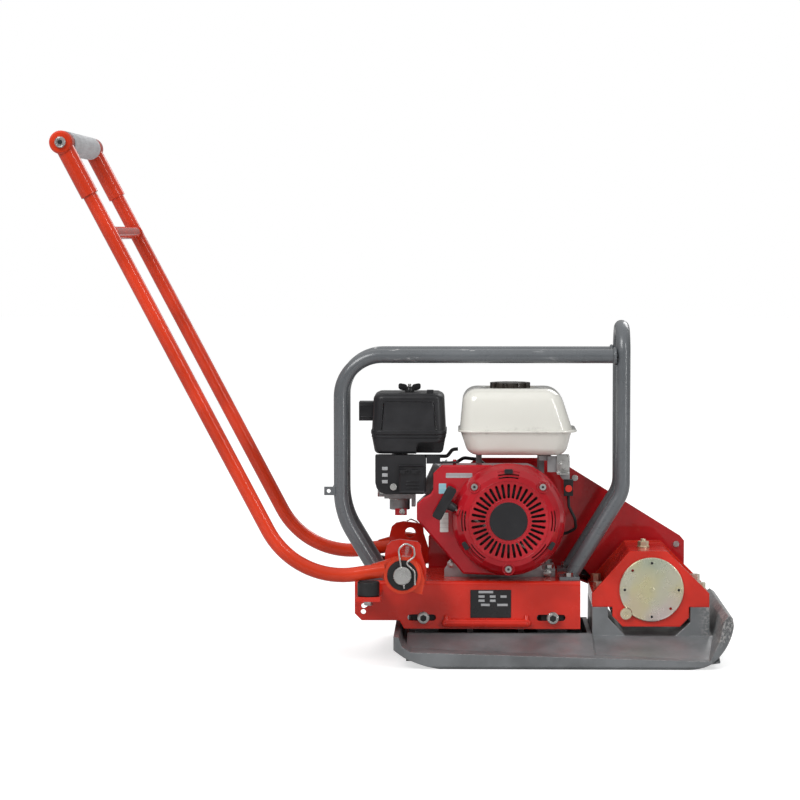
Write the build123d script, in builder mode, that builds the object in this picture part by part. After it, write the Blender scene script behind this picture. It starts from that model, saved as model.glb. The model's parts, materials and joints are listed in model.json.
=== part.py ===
from build123d import *
import math
import os

# Forward vibratory plate compactor with a folding push handle.
# Millimetres. X points forward, Z up, and Y to the belt side. The origin is on the ground,
# under the middle of the base plate. "Near" is the -Y side and "far" the +Y side.

# ---- driving dimensions ----
PLATE_WIDTH = 450
NOSE_RADIUS = 82
SOLE_REAR = -212
SOLE_FRONT = 211
HUMP_TOP = 46
FLOOR_THICKNESS = 14

EXCITER_X = 156
EXCITER_Z = 123
BED_TOP = 92
BED_NEAR = -104
BED_FAR = 92
WING_TOP = 116
FOOT_BOLT_X = (66, 244)
FOOT_BOLT_Y = 62
COVER_RADIUS = 56
COVER_BOLT_RADIUS = 47
BEARING_RADIUS = 36
SHAFT_RADIUS = 15
RUNNING = 0.06

DECK_HALF = 105
DECK_TOP = 137
DECK_SHEET = 6
DECK_REAR = -362
DECK_FRONT = 32
MOUNT_X = (-242, -16)
MOUNT_Z = 73
RUBBER_RADIUS = 20
LUG_FACE = 71

TUBE_RADIUS = 12.5
TUBE_BORE = 10
PIVOT_X = -276.5
PIVOT_Z = 159
ARM_Y = 193
EAR_INNER = 150
EAR_OUTER = 158
PIN_RADIUS = 15.5
PIN_END = 216
CLIP_Y = 211
CLIP_LEAN = 8.4
HUB_TOP_X = -857.5
HUB_TOP_Z = 898
ARM_LEAN = 27.8
ARM_CORNER = (-460, 144.4)
ARM_ROOT = (-306, 167.1)
ARM_BEND = 145
GRIP_HALF = 168

RAIL_Y = 60
RAIL_TOP = 528.5
RAIL_REAR = -388
HOOP_X = 107.5
HOOP_TOP = 577.5
HOOP_KNEE = 290
WELD_GAP = 0.1

CRANK_X = -94
CRANK_Z = 245
CRANK_RADIUS = 12.5
COWL_RADIUS = 98
COWL_FACE = -132
COWL_BASE = -90
PULL_START = (-171.7, 256)
PULL_ANGLE = 151.6
PULL_Y = -116

BELT_LOW = 134
BELT_HIGH = 146
DRIVE_BELT_RADIUS = 64
DRIVEN_BELT_RADIUS = 42
BELT_THICKNESS = 8
GUARD_PLATE_Y = 112
GUARD_PLATE_SHEET = 3
GUARD_OUTER = 164

ENGINE_BOLT_X = (-172, -20)
ENGINE_BOLT_Y = (-22, 62)
CAGE_BOLT_X = (-335, 12)
CAGE_BOLT_Y = 83
BLOCK_TOP = 300
FOOT_TOP = 150
TANK_SEAM = 398
TANK_TOP = 472
CAP_X = -90
CAP_Y = -12
AIR_X = -268
AIR_Y = -12

os.makedirs("parts", exist_ok=True)


# ---- shared shapes ----
def side_plane(y):
    """Side-view plane at y: its own x is the machine's X and its own y the machine's Z."""
    return Plane.XZ.offset(-y)


def slab(points, y_low, y_high, mode=Mode.ADD):
    """Side-view outline carried across the machine from y_low to y_high."""
    with BuildSketch(side_plane(y_high)) as outline:
        with BuildLine():
            Polyline(*points, close=True)
        make_face()
    extrude(outline.sketch, amount=y_high - y_low, mode=mode)


def turned(x, z, points, mode=Mode.ADD):
    """Outline of (radius, y) points revolved about the cross-wise axis through x, z."""
    with BuildSketch(Plane(origin=(x, 0, z), x_dir=(1, 0, 0), z_dir=(0, 0, 1))) as outline:
        with BuildLine():
            Polyline(*points, close=True)
        make_face()
    revolve(outline.sketch, axis=Axis((x, 0, z), (0, 1, 0)), mode=mode)


def cross_rod(x, z, radius, y_low, y_high, mode=Mode.ADD):
    """Round bar or hole whose axis runs across the machine."""
    with BuildSketch(side_plane(y_high)) as section:
        with Locations((x, z)):
            Circle(radius)
    extrude(section.sketch, amount=y_high - y_low, mode=mode)


def upright_rod(x, y, radius, z_low, z_high, mode=Mode.ADD):
    """Round bar or hole whose axis is vertical."""
    with BuildSketch(Plane.XY.offset(z_low)) as section:
        with Locations((x, y)):
            Circle(radius)
    extrude(section.sketch, amount=z_high - z_low, mode=mode)


def hex_head(x, y, across, z_low, z_high):
    """Upright hexagon head."""
    with BuildSketch(Plane.XY.offset(z_low)) as section:
        with Locations((x, y)):
            RegularPolygon(across / 2, 6, major_radius=False)
    extrude(section.sketch, amount=z_high - z_low)


def brick(x_range, y_range, z_range, mode=Mode.ADD):
    """Box between two corners."""
    centre = tuple((low + high) / 2 for low, high in (x_range, y_range, z_range))
    with Locations(centre):
        Box(x_range[1] - x_range[0], y_range[1] - y_range[0], z_range[1] - z_range[0], mode=mode)


def tube_along(path, outer, bore=0):
    """Round tube or bar swept along a path of straight runs and arcs."""
    with BuildSketch(Plane(origin=path @ 0, z_dir=path % 0)) as section:
        Circle(outer)
        if bore:
            Circle(bore, mode=Mode.SUBTRACT)
    sweep(section.sketch, path=path)


def flange_outline():
    """Outline of the exciter's end flange: sloping shoulders, two wings and a rounded belly."""
    return [(118, 190), (183, 190), (257, WING_TOP), (257, BED_TOP), (222, BED_TOP), (222, 74),
            (206, 57.5), (106, 57.5), (88, 76), (88, BED_TOP), (53, BED_TOP), (53, WING_TOP)]


# ---- base plate and exciter ----
def make_base_plate():
    """Cast sole with upturned nose and heel, sloping top, exciter bed and rubber-mount lugs."""
    half = PLATE_WIDTH / 2
    nose_end = math.radians(8)
    nose_mid = math.radians(49)
    with BuildPart() as base_plate:
        with BuildSketch(side_plane(half)):
            with BuildLine():
                tip = (SOLE_FRONT + NOSE_RADIUS * math.cos(nose_end),
                       NOSE_RADIUS - NOSE_RADIUS * math.sin(nose_end))
                middle = (SOLE_FRONT + NOSE_RADIUS * math.cos(nose_mid),
                          NOSE_RADIUS - NOSE_RADIUS * math.sin(nose_mid))
                Line((SOLE_REAR, 0), (SOLE_FRONT, 0))
                ThreePointArc((SOLE_FRONT, 0), middle, tip)
                Polyline(tip, (290, 84), (282, 89), (273, 80), (266, 48), (248, 15), (-262, 29),
                         (-277, 38), (-283, 53), (-292, 53), (-292, 30))
                ThreePointArc((-292, 30), (-252, 10.5), (SOLE_REAR, 0))
            make_face()
        extrude(amount=PLATE_WIDTH)
        with BuildSketch(Plane.YZ.offset(-270)):
            with BuildLine():
                Polyline((-222, 14), (-110, HUMP_TOP), (110, HUMP_TOP), (222, 14), close=True)
            make_face()
        extrude(amount=322)
        with BuildSketch(Plane.YZ.offset(52)):
            with BuildLine():
                Polyline((-223, 10), (BED_NEAR, 42), (-BED_NEAR, 42), (223, 10), close=True)
            make_face()
        extrude(amount=215)
        brick((-256, 44), (-98, 98), (FLOOR_THICKNESS, HUMP_TOP + 1), Mode.SUBTRACT)
        for x in (-160, -70):
            brick((x - 5, x + 5), (-98, 98), (FLOOR_THICKNESS - 1, HUMP_TOP - 8))
        brick((53, 257), (BED_NEAR, BED_FAR), (30, BED_TOP))
        slab([(80, 93), (80, 74), (112, 40), (196, 40), (224, 66), (224, 93)],
             BED_NEAR - 1, BED_FAR + 1, Mode.SUBTRACT)
        for x in MOUNT_X:
            for side in (-1, 1):
                inner, outer = sorted((side * (LUG_FACE - 14), side * LUG_FACE))
                brick((x - 26, x + 26), (inner, outer), (FLOOR_THICKNESS - 1, MOUNT_Z + 25))
                cross_rod(x, MOUNT_Z, 5.3, inner - 1, outer + 1, Mode.SUBTRACT)
        for x in FOOT_BOLT_X:
            for y in (-FOOT_BOLT_Y, FOOT_BOLT_Y):
                upright_rod(x, y, 5.2, 62, BED_TOP + 1, Mode.SUBTRACT)
        with BuildSketch(Plane.XY.offset(-1)):
            for side in (-1, 1):
                with BuildLine():
                    Polyline((294, side * 182), (294, side * 226), (250, side * 226), close=True)
                make_face()
                with BuildLine():
                    Polyline((-293, side * 205), (-293, side * 226), (-272, side * 226), close=True)
                make_face()
        extrude(amount=100, mode=Mode.SUBTRACT)
        with BuildSketch(Plane.YZ.offset(-300)):
            for side in (-1, 1):
                with BuildLine():
                    Polyline((side * 219, -1), (side * 226, 6), (side * 226, -1), close=True)
                make_face()
        extrude(amount=600, mode=Mode.SUBTRACT)
    base_plate.part.label = "base_plate"
    export_step(base_plate.part, "parts/base_plate.step")


def make_exciter_housing():
    """Welded housing: two end flanges, a hollow body with bearing seats, and drilled feet."""
    body = [(118, 188), (183, 188), (232, 130), (232, BED_TOP), (222, BED_TOP), (222, 74),
            (206, 57.5), (106, 57.5), (88, 76), (88, BED_TOP), (80, BED_TOP), (80, 130)]
    with BuildPart() as exciter_housing:
        slab(flange_outline(), -100, -90)
        slab(body, -90, 75)
        slab(flange_outline(), 75, 85)
        brick((53, 257), (-90, 75), (BED_TOP, WING_TOP))
        cross_rod(EXCITER_X, EXCITER_Z, 48, -68, 56, Mode.SUBTRACT)
        cross_rod(EXCITER_X, EXCITER_Z, BEARING_RADIUS + 0.05, -101, 86, Mode.SUBTRACT)
        for x in FOOT_BOLT_X:
            for y in (-FOOT_BOLT_Y, FOOT_BOLT_Y):
                upright_rod(x, y, 5.5, BED_TOP - 1, WING_TOP + 1, Mode.SUBTRACT)
        for x, z in cover_screw_places():
            cross_rod(x, z, 3.2, -101, -89, Mode.SUBTRACT)
            cross_rod(x, z, 3.2, 74, 86, Mode.SUBTRACT)
        cross_rod(111.4, 80.7, 5.2, -101, -91, Mode.SUBTRACT)
        upright_rod(146, -20, 6.2, 168, 189, Mode.SUBTRACT)
        upper = exciter_housing.edges().filter_by(Axis.Y).filter_by_position(Axis.Z, 187, 191)
        fillet(upper, 5)
    exciter_housing.part.label = "exciter_housing"
    export_step(exciter_housing.part, "parts/exciter_housing.step")


def cover_screw_places():
    """Centres of the four screws round each exciter cover."""
    return [(EXCITER_X + COVER_BOLT_RADIUS * math.cos(math.radians(a)),
             EXCITER_Z + COVER_BOLT_RADIUS * math.sin(math.radians(a))) for a in (0, 90, 180, 270)]


def make_exciter_covers():
    """Round plated covers: the near one blind with two jacking holes, the far one bored for the shaft."""
    with BuildPart() as exciter_covers:
        cross_rod(EXCITER_X, EXCITER_Z, COVER_RADIUS, -105, -100)
        cross_rod(EXCITER_X, EXCITER_Z, BEARING_RADIUS - 0.2, -100, -93)
        cross_rod(EXCITER_X, EXCITER_Z, 30, -101, -92, Mode.SUBTRACT)
        cross_rod(EXCITER_X, EXCITER_Z, COVER_RADIUS, 85, 90)
        cross_rod(EXCITER_X, EXCITER_Z, 24.1, 84, 91, Mode.SUBTRACT)
        for x, z in cover_screw_places():
            cross_rod(x, z, 3.2, -106, -99, Mode.SUBTRACT)
            cross_rod(x, z, 3.2, 84, 91, Mode.SUBTRACT)
        for angle in (135, -45):
            x = EXCITER_X + COVER_BOLT_RADIUS * math.cos(math.radians(angle))
            z = EXCITER_Z + COVER_BOLT_RADIUS * math.sin(math.radians(angle))
            cross_rod(x, z, 2.6, -106, -99, Mode.SUBTRACT)
        cross_rod(111.4, 80.7, 11, -106, -99, Mode.SUBTRACT)
        rim = exciter_covers.edges().filter_by(GeomType.CIRCLE).filter_by_position(Axis.Y, -105.1, -104.9)
        chamfer(rim.sort_by(SortBy.RADIUS)[-1:], 0.8)
    exciter_covers.part.label = "exciter_covers"
    export_step(exciter_covers.part, "parts/exciter_covers.step")


def make_exciter_cover_screws():
    """Socket-head screws of both covers."""
    with BuildPart() as exciter_cover_screws:
        for x, z in cover_screw_places():
            cross_rod(x, z, 5, -110, -105)
            cross_rod(x, z, 2.4, -111, -107.5, Mode.SUBTRACT)
            cross_rod(x, z, 3, -105, -92)
            cross_rod(x, z, 5, 90, 95)
            cross_rod(x, z, 3, 77, 90)
    exciter_cover_screws.part.label = "exciter_cover_screws"
    export_step(exciter_cover_screws.part, "parts/exciter_cover_screws.step")


def make_exciter_plugs():
    """Oil drain plug low on the near flange, and the filler breather on top of the housing."""
    with BuildPart() as exciter_plugs:
        cross_rod(111.4, 80.7, 10, -107, -100)
        cross_rod(111.4, 80.7, 4, -108, -104, Mode.SUBTRACT)
        cross_rod(111.4, 80.7, 5, -100, -92)
        hex_head(146, -20, 17, 191, 199)
        upright_rod(146, -20, 11, 188.2, 191)
        upright_rod(146, -20, 6, 172, 188.2)
        upright_rod(146, -20, 4.5, 199, 203)
    exciter_plugs.part.label = "exciter_plugs"
    export_step(exciter_plugs.part, "parts/exciter_plugs.step")


def make_exciter_foot_bolts():
    """Four hexagon bolts with washers that hold the exciter down on its bed."""
    with BuildPart() as exciter_foot_bolts:
        for x in FOOT_BOLT_X:
            for y in (-FOOT_BOLT_Y, FOOT_BOLT_Y):
                upright_rod(x, y, 10, WING_TOP, WING_TOP + 2)
                hex_head(x, y, 16, WING_TOP + 2, WING_TOP + 15)
                upright_rod(x, y, 5, 64, WING_TOP)
    exciter_foot_bolts.part.label = "exciter_foot_bolts"
    export_step(exciter_foot_bolts.part, "parts/exciter_foot_bolts.step")


def make_eccentric_shaft():
    """Exciter shaft with its half-round weight between the bearings and a turned-down pulley end."""
    with BuildPart() as eccentric_shaft:
        turned(EXCITER_X, EXCITER_Z, [(0, -86), (14, -86), (SHAFT_RADIUS, -84), (SHAFT_RADIUS, 100),
                                      (CRANK_RADIUS, 100), (CRANK_RADIUS, 157), (0, 157)])
        with BuildSketch(side_plane(46)):
            with Locations((EXCITER_X, EXCITER_Z)):
                Circle(45)
                Rectangle(90, 45, align=(Align.CENTER, Align.MIN), mode=Mode.SUBTRACT)
        extrude(amount=104)
    eccentric_shaft.part.label = "eccentric_shaft"
    export_step(eccentric_shaft.part, "parts/eccentric_shaft.step")


def ring(x, z, inner, outer, y_low, y_high):
    """Plain ring about a cross-wise axis."""
    turned(x, z, [(inner, y_low), (outer, y_low), (outer, y_high), (inner, y_high)])


def make_ball_bearings():
    """Exciter and crankshaft bearings, each as one ring with shallow face grooves."""
    with BuildPart() as ball_bearings:
        for y in (-89, 58):
            turned(EXCITER_X, EXCITER_Z,
                   [(SHAFT_RADIUS + RUNNING, y), (21, y), (21, y + 1.5), (30, y + 1.5), (30, y),
                    (BEARING_RADIUS, y), (BEARING_RADIUS, y + 18), (30, y + 18), (30, y + 16.5),
                    (21, y + 16.5), (21, y + 18), (SHAFT_RADIUS + RUNNING, y + 18)])
        for y in (-38, 58):
            ring(CRANK_X, CRANK_Z, CRANK_RADIUS + RUNNING, 26, y, y + 15)
    ball_bearings.part.label = "ball_bearings"
    export_step(ball_bearings.part, "parts/ball_bearings.step")


def make_shaft_seal():
    """Lip seal in the far exciter cover."""
    with BuildPart() as shaft_seal:
        ring(EXCITER_X, EXCITER_Z, SHAFT_RADIUS + RUNNING, 24, 84, 90)
    shaft_seal.part.label = "shaft_seal"
    export_step(shaft_seal.part, "parts/shaft_seal.step")


def pulley_outline(bore, belt_radius, hub_low, hub_high):
    """Half-section of a V-belt pulley with its groove round the belt's plane."""
    rim = belt_radius + 2
    root = belt_radius - BELT_THICKNESS - 1
    low = BELT_LOW - 8
    high = BELT_HIGH + 8
    return [(bore, hub_low), (bore + 9, hub_low), (bore + 9, low), (rim, low), (rim, BELT_LOW - 3),
            (root, BELT_LOW - 0.5), (root, BELT_HIGH + 0.5), (rim, BELT_HIGH + 3), (rim, high),
            (bore + 9, high), (bore + 9, hub_high), (bore, hub_high)]


def make_exciter_pulley():
    """Driven V-belt pulley on the eccentric shaft."""
    with BuildPart() as exciter_pulley:
        turned(EXCITER_X, EXCITER_Z, pulley_outline(CRANK_RADIUS + 0.05, DRIVEN_BELT_RADIUS, 102, 156))
    exciter_pulley.part.label = "exciter_pulley"
    export_step(exciter_pulley.part, "parts/exciter_pulley.step")


def make_drive_pulley():
    """Centrifugal clutch drum with the drive pulley, on the crankshaft's end."""
    with BuildPart() as drive_pulley:
        turned(CRANK_X, CRANK_Z, pulley_outline(CRANK_RADIUS + 0.05, DRIVE_BELT_RADIUS, 118, 156))
        ring(CRANK_X, CRANK_Z, 46, 50, 118, BELT_LOW - 7)
    drive_pulley.part.label = "drive_pulley"
    export_step(drive_pulley.part, "parts/drive_pulley.step")


def make_v_belt():
    """V-belt round both pulleys, as a band of constant width."""
    with BuildPart() as v_belt:
        with BuildSketch(side_plane(BELT_HIGH)):
            with Locations((CRANK_X, CRANK_Z)):
                Circle(DRIVE_BELT_RADIUS)
            with Locations((EXCITER_X, EXCITER_Z)):
                Circle(DRIVEN_BELT_RADIUS)
            make_hull()
        extrude(amount=BELT_HIGH - BELT_LOW)
        with BuildSketch(side_plane(BELT_HIGH + 1)):
            with Locations((CRANK_X, CRANK_Z)):
                Circle(DRIVE_BELT_RADIUS - BELT_THICKNESS)
            with Locations((EXCITER_X, EXCITER_Z)):
                Circle(DRIVEN_BELT_RADIUS - BELT_THICKNESS)
            make_hull()
        extrude(amount=BELT_HIGH - BELT_LOW + 2, mode=Mode.SUBTRACT)
    v_belt.part.label = "v_belt"
    export_step(v_belt.part, "parts/v_belt.step")


# ---- deck, rubber mounts and handle bracket ----
def deck_bolt_places():
    """Bolts down through the deck's top: four in the engine's feet, four in the cage's feet."""
    engine = [(x, y) for x in ENGINE_BOLT_X for y in ENGINE_BOLT_Y]
    cage = [(x, y) for x in CAGE_BOLT_X for y in (-CAGE_BOLT_Y, CAGE_BOLT_Y)]
    return engine + cage


def make_deck():
    """Folded steel deck: flat top, two slotted sides, closed ends and a rolled lip on the near side."""
    outline = [(DECK_REAR, DECK_TOP), (DECK_REAR, 80), (-350, 68), (-284, 68), (-276, 53.5),
               (DECK_FRONT, 53.5), (DECK_FRONT, DECK_TOP)]
    with BuildPart() as deck:
        slab(outline, -DECK_HALF, DECK_HALF)
        fillet(deck.edges().filter_by(Axis.X).filter_by_position(Axis.Z, DECK_TOP - 0.1, DECK_TOP + 0.1), 7)
        brick((DECK_REAR + DECK_SHEET, DECK_FRONT - DECK_SHEET),
              (-DECK_HALF + DECK_SHEET, DECK_HALF - DECK_SHEET), (40, DECK_TOP - DECK_SHEET),
              Mode.SUBTRACT)
        for x, y in deck_bolt_places():
            upright_rod(x, y, 4.4, DECK_TOP - DECK_SHEET - 1, DECK_TOP + 1, Mode.SUBTRACT)
        with BuildSketch(side_plane(DECK_HALF + 1)):
            for x in MOUNT_X:
                with Locations((x - 3, MOUNT_Z)):
                    SlotOverall(50, 11)
            with Locations((-341, 97)):
                SlotOverall(22, 9, rotation=35)
            with Locations((-347, 83)):
                Circle(4.5)
        extrude(amount=2 * DECK_HALF + 2, mode=Mode.SUBTRACT)
        with BuildSketch(side_plane(-DECK_HALF)):
            with Locations((-132, 64)):
                SlotOverall(156, 14)
        extrude(amount=9)
        lip = deck.edges().filter_by_position(Axis.Y, -DECK_HALF - 9.1, -DECK_HALF - 8.9)
        fillet(lip, 4)
    deck.part.label = "deck"
    export_step(deck.part, "parts/deck.step")


def make_rubber_mounts():
    """Four rubber mounts between the deck's sides and the base plate's lugs."""
    with BuildPart() as rubber_mounts:
        for x in MOUNT_X:
            for side in (-1, 1):
                low, high = sorted((side * LUG_FACE, side * (DECK_HALF - DECK_SHEET)))
                cross_rod(x, MOUNT_Z, RUBBER_RADIUS, low, high)
                cross_rod(x, MOUNT_Z, 5.2, low - 1, low + 11, Mode.SUBTRACT)
                cross_rod(x, MOUNT_Z, 5.2, high - 11, high + 1, Mode.SUBTRACT)
    rubber_mounts.part.label = "rubber_mounts"
    export_step(rubber_mounts.part, "parts/rubber_mounts.step")


def make_mount_bolts():
    """Socket-head bolts and washers, one into each end of each rubber mount."""
    with BuildPart() as mount_bolts:
        for x in MOUNT_X:
            for side in (-1, 1):
                for face, tip, out in ((DECK_HALF, DECK_HALF - 15, 1), (LUG_FACE - 14, LUG_FACE + 9, -1)):
                    shank = sorted((side * face, side * tip))
                    washer = sorted((side * face, side * (face + out * 2)))
                    head = sorted((side * (face + out * 2), side * (face + out * 10)))
                    socket = sorted((side * (face + out * 6), side * (face + out * 11)))
                    cross_rod(x, MOUNT_Z, 5, *shank)
                    cross_rod(x, MOUNT_Z, 10.5, *washer)
                    cross_rod(x, MOUNT_Z, 8, *head)
                    cross_rod(x, MOUNT_Z, 4, *socket, Mode.SUBTRACT)
    mount_bolts.part.label = "mount_bolts"
    export_step(mount_bolts.part, "parts/mount_bolts.step")


def make_rating_plate():
    """Blank rating plate on the near side of the deck."""
    with BuildPart() as rating_plate:
        brick((-160, -89), (-DECK_HALF - 1, -DECK_HALF), (73, 122))
    rating_plate.part.label = "rating_plate"
    export_step(rating_plate.part, "parts/rating_plate.step")


def ear_outline():
    """Upright ear of the handle bracket."""
    return [(-306, 138), (-308, 190), (-304, 206), (-296, 213), (-282, 216), (-251, 212),
            (-246, 207), (-245, 194), (-236, 166), (-236, 138)]


def make_handle_bracket():
    """Cross tube on two saddles, with an ear at each end for the pivot pin."""
    with BuildPart() as handle_bracket:
        cross_rod(PIVOT_X, PIVOT_Z, 20, -EAR_INNER, EAR_INNER)
        for side in (-1, 1):
            ear = sorted((side * EAR_INNER, side * EAR_OUTER))
            saddle = sorted((side * 84, side * 92))
            slab(ear_outline(), *ear)
            slab([(-304, DECK_TOP), (-249, DECK_TOP), (-262, 172), (-291, 172)], *saddle)
            cross_rod(-270, 195.3, 9.5, *ear, Mode.SUBTRACT)
        cross_rod(PIVOT_X, PIVOT_Z, PIN_RADIUS + 0.1, -EAR_OUTER - 1, EAR_OUTER + 1, Mode.SUBTRACT)
        for side in (-1, 1):
            arm = tuple(sorted((side * DECK_HALF, side * 212)))
            brick((-356, -314), arm, (114, 122))
            upright_rod(-335, side * ARM_Y, 3.4, 113, 123, Mode.SUBTRACT)
    handle_bracket.part.label = "handle_bracket"
    export_step(handle_bracket.part, "parts/handle_bracket.step")


def make_pivot_pins():
    """Two headed pivot pins, cross-drilled for their clips."""
    with BuildPart() as pivot_pins:
        for side in (-1, 1):
            cross_rod(PIVOT_X, PIVOT_Z, PIN_RADIUS, *sorted((side * 108, side * PIN_END)))
            with Locations(Plane(origin=(PIVOT_X, side * CLIP_Y, PIVOT_Z), x_dir=(0, 1, 0),
                                 z_dir=clip_direction()).location):
                Cylinder(2.1, 60, mode=Mode.SUBTRACT)
        ends = pivot_pins.edges().filter_by(GeomType.CIRCLE)
        outer = ends.filter_by_position(Axis.Y, PIN_END - 0.1, PIN_END + 0.1)
        outer += ends.filter_by_position(Axis.Y, -PIN_END - 0.1, -PIN_END + 0.1)
        chamfer(outer, 1.2)
    pivot_pins.part.label = "pivot_pins"
    export_step(pivot_pins.part, "parts/pivot_pins.step")


def clip_direction():
    """Direction of the cross hole in each pivot pin, leaning slightly to the rear."""
    lean = math.radians(CLIP_LEAN)
    return (-math.sin(lean), 0, math.cos(lean))


def make_r_clips():
    """Sprung wire clips: a straight leg through the pin, a round eye, and a leg that hugs the pin."""
    lean = math.radians(CLIP_LEAN)
    with BuildPart() as r_clips:
        for side in (-1, 1):
            frame = Plane(origin=(PIVOT_X, side * CLIP_Y, PIVOT_Z),
                          x_dir=(math.cos(lean), 0, math.sin(lean)), z_dir=(0, -1, 0))
            with BuildLine(frame):
                wire = FilletPolyline((0, -22), (0, 46), (13, 55), (27, 46), (26, 30), (9, 20.5),
                                      (22, 4), (19, -19), radius=[10, 9, 9, 9, 4, 7])
            tube_along(wire, 1.6)
    r_clips.part.label = "r_clips"
    export_step(r_clips.part, "parts/r_clips.step")


def make_handle_buffers():
    """Rubber stop buffers under the handle arms."""
    with BuildPart() as handle_buffers:
        for side in (-1, 1):
            upright_rod(-335, side * ARM_Y, 19, 122, 147.2)
        fillet(handle_buffers.edges().filter_by(GeomType.CIRCLE), 2.5)
        for side in (-1, 1):
            upright_rod(-335, side * ARM_Y, 3.2, 121, 138, Mode.SUBTRACT)
    handle_buffers.part.label = "handle_buffers"
    export_step(handle_buffers.part, "parts/handle_buffers.step")


# ---- guard cage ----
def make_cage_rails():
    """Two bent side rails with rear foot plates, joined by a strap with an eyelet."""
    with BuildPart() as cage_rails:
        for side in (-1, 1):
            y = side * RAIL_Y
            with BuildLine():
                rail = FilletPolyline((-324, y, 145), (RAIL_REAR, y, 252), (RAIL_REAR, y, RAIL_TOP),
                                      (HOOP_X - TUBE_RADIUS - WELD_GAP, y, RAIL_TOP),
                                      radius=[140, 72])
            tube_along(rail, TUBE_RADIUS, TUBE_BORE)
            foot = tuple(sorted((side * (RAIL_Y - 18), side * (CAGE_BOLT_Y + 9))))
            brick((-352, -306), foot, (DECK_TOP, DECK_TOP + 6))
        with BuildSketch(side_plane(RAIL_Y)):
            with BuildLine():
                Polyline((-402, 284), (-397, 284), (-397, 299), (-402, 299), close=True)
            make_face()
        extrude(amount=2 * RAIL_Y)
        brick((-417, -400), (-70, -66), (284, 299))
        brick((-402, -397), (-70, -RAIL_Y), (284, 299))
        cross_rod(-409, 291.5, 3.5, -71, -65, Mode.SUBTRACT)
        for side in (-1, 1):
            upright_rod(CAGE_BOLT_X[0], side * CAGE_BOLT_Y, 4.3, DECK_TOP - 1, DECK_TOP + 7, Mode.SUBTRACT)
    cage_rails.part.label = "cage_rails"
    export_step(cage_rails.part, "parts/cage_rails.step")


def make_cage_hoop():
    """Front hoop: one bent tube on two foot plates, with the rails welded to its rear."""
    near = -RAIL_Y
    far = RAIL_Y
    with BuildPart() as cage_hoop:
        with BuildLine():
            hoop = FilletPolyline((18, near, 145), (HOOP_X, near, HOOP_KNEE), (HOOP_X, near, HOOP_TOP),
                                  (HOOP_X, far, HOOP_TOP), (HOOP_X, far, HOOP_KNEE), (18, far, 145),
                                  radius=[60, 48, 48, 60])
        tube_along(hoop, TUBE_RADIUS, TUBE_BORE)
        for y in (near, far):
            side = math.copysign(1, y)
            foot = tuple(sorted((side * (RAIL_Y - 18), side * (CAGE_BOLT_Y + 9))))
            brick((-4, 31), foot, (DECK_TOP, DECK_TOP + 6))
            upright_rod(CAGE_BOLT_X[1], side * CAGE_BOLT_Y, 4.3, DECK_TOP - 1, DECK_TOP + 7, Mode.SUBTRACT)
    cage_hoop.part.label = "cage_hoop"
    export_step(cage_hoop.part, "parts/cage_hoop.step")


# ---- handle ----
def arm_outline():
    """Hub plate that joins an arm to its pivot ring, with its heel low at the front."""
    return [(-330, 177), (-306, 184), (-290, 190), (-262, 190), (-246, 176), (-238, 150),
            (-243, 125), (-300, 140), (-311, 153), (-330, 156)]


def make_handle_arm(side, label):
    """Bent arm with its upper sleeve, top boss, hub plate and pivot ring."""
    y = side * ARM_Y
    lean = math.radians(ARM_LEAN)
    sleeve_end = (HUB_TOP_X + 101 * math.sin(lean), y, HUB_TOP_Z - 101 * math.cos(lean))
    with BuildPart() as handle_arm:
        with BuildLine():
            run = FilletPolyline((ARM_ROOT[0], y, ARM_ROOT[1]), (ARM_CORNER[0], y, ARM_CORNER[1]),
                                 (HUB_TOP_X, y, HUB_TOP_Z), radius=ARM_BEND)
        tube_along(run, TUBE_RADIUS, TUBE_BORE)
        with BuildLine():
            sleeve = Line((HUB_TOP_X, y, HUB_TOP_Z), sleeve_end)
        tube_along(sleeve, 15.5)
        boss = sorted((side * 176, side * 212))
        turned(HUB_TOP_X, HUB_TOP_Z, [(0, boss[0]), (17, boss[0]), (20, boss[0] + 4), (20, boss[1] - 4),
                                      (17, boss[1]), (0, boss[1])])
        cross_rod(HUB_TOP_X, HUB_TOP_Z, 5.2, boss[0] - 1, boss[1] + 1, Mode.SUBTRACT)
        cross_rod(PIVOT_X, PIVOT_Z, 32, y - 12, y + 12)
        slab(arm_outline(), y - 5, y + 5)
        cross_rod(PIVOT_X, PIVOT_Z, 26.1, y - 13, y + 13, Mode.SUBTRACT)
    handle_arm.part.label = label
    export_step(handle_arm.part, f"parts/{label}.step")


def make_hub_bushes():
    """Rubber bushes between the arms' pivot rings and the pins."""
    with BuildPart() as hub_bushes:
        for side in (-1, 1):
            y = side * ARM_Y
            ring(PIVOT_X, PIVOT_Z, PIN_RADIUS + RUNNING, 26, y - 13, y + 13)
    hub_bushes.part.label = "hub_bushes"
    export_step(hub_bushes.part, "parts/hub_bushes.step")


def make_grip_bar():
    """Steel cross-bar between the arms' top bosses, tapped at both ends."""
    with BuildPart() as grip_bar:
        cross_rod(HUB_TOP_X, HUB_TOP_Z, TUBE_RADIUS, -176, 176)
        cross_rod(HUB_TOP_X, HUB_TOP_Z, 5.2, -177, -150, Mode.SUBTRACT)
        cross_rod(HUB_TOP_X, HUB_TOP_Z, 5.2, 150, 177, Mode.SUBTRACT)
    grip_bar.part.label = "grip_bar"
    export_step(grip_bar.part, "parts/grip_bar.step")


def make_grip():
    """Thick grip sleeve on the cross-bar."""
    with BuildPart() as grip:
        ring(HUB_TOP_X, HUB_TOP_Z, TUBE_RADIUS + 0.1, 20.5, -GRIP_HALF, GRIP_HALF)
        ends = grip.edges().filter_by(GeomType.CIRCLE).sort_by(SortBy.RADIUS)[-2:]
        fillet(ends, 1.5)
    grip.part.label = "grip"
    export_step(grip.part, "parts/grip.step")


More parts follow.
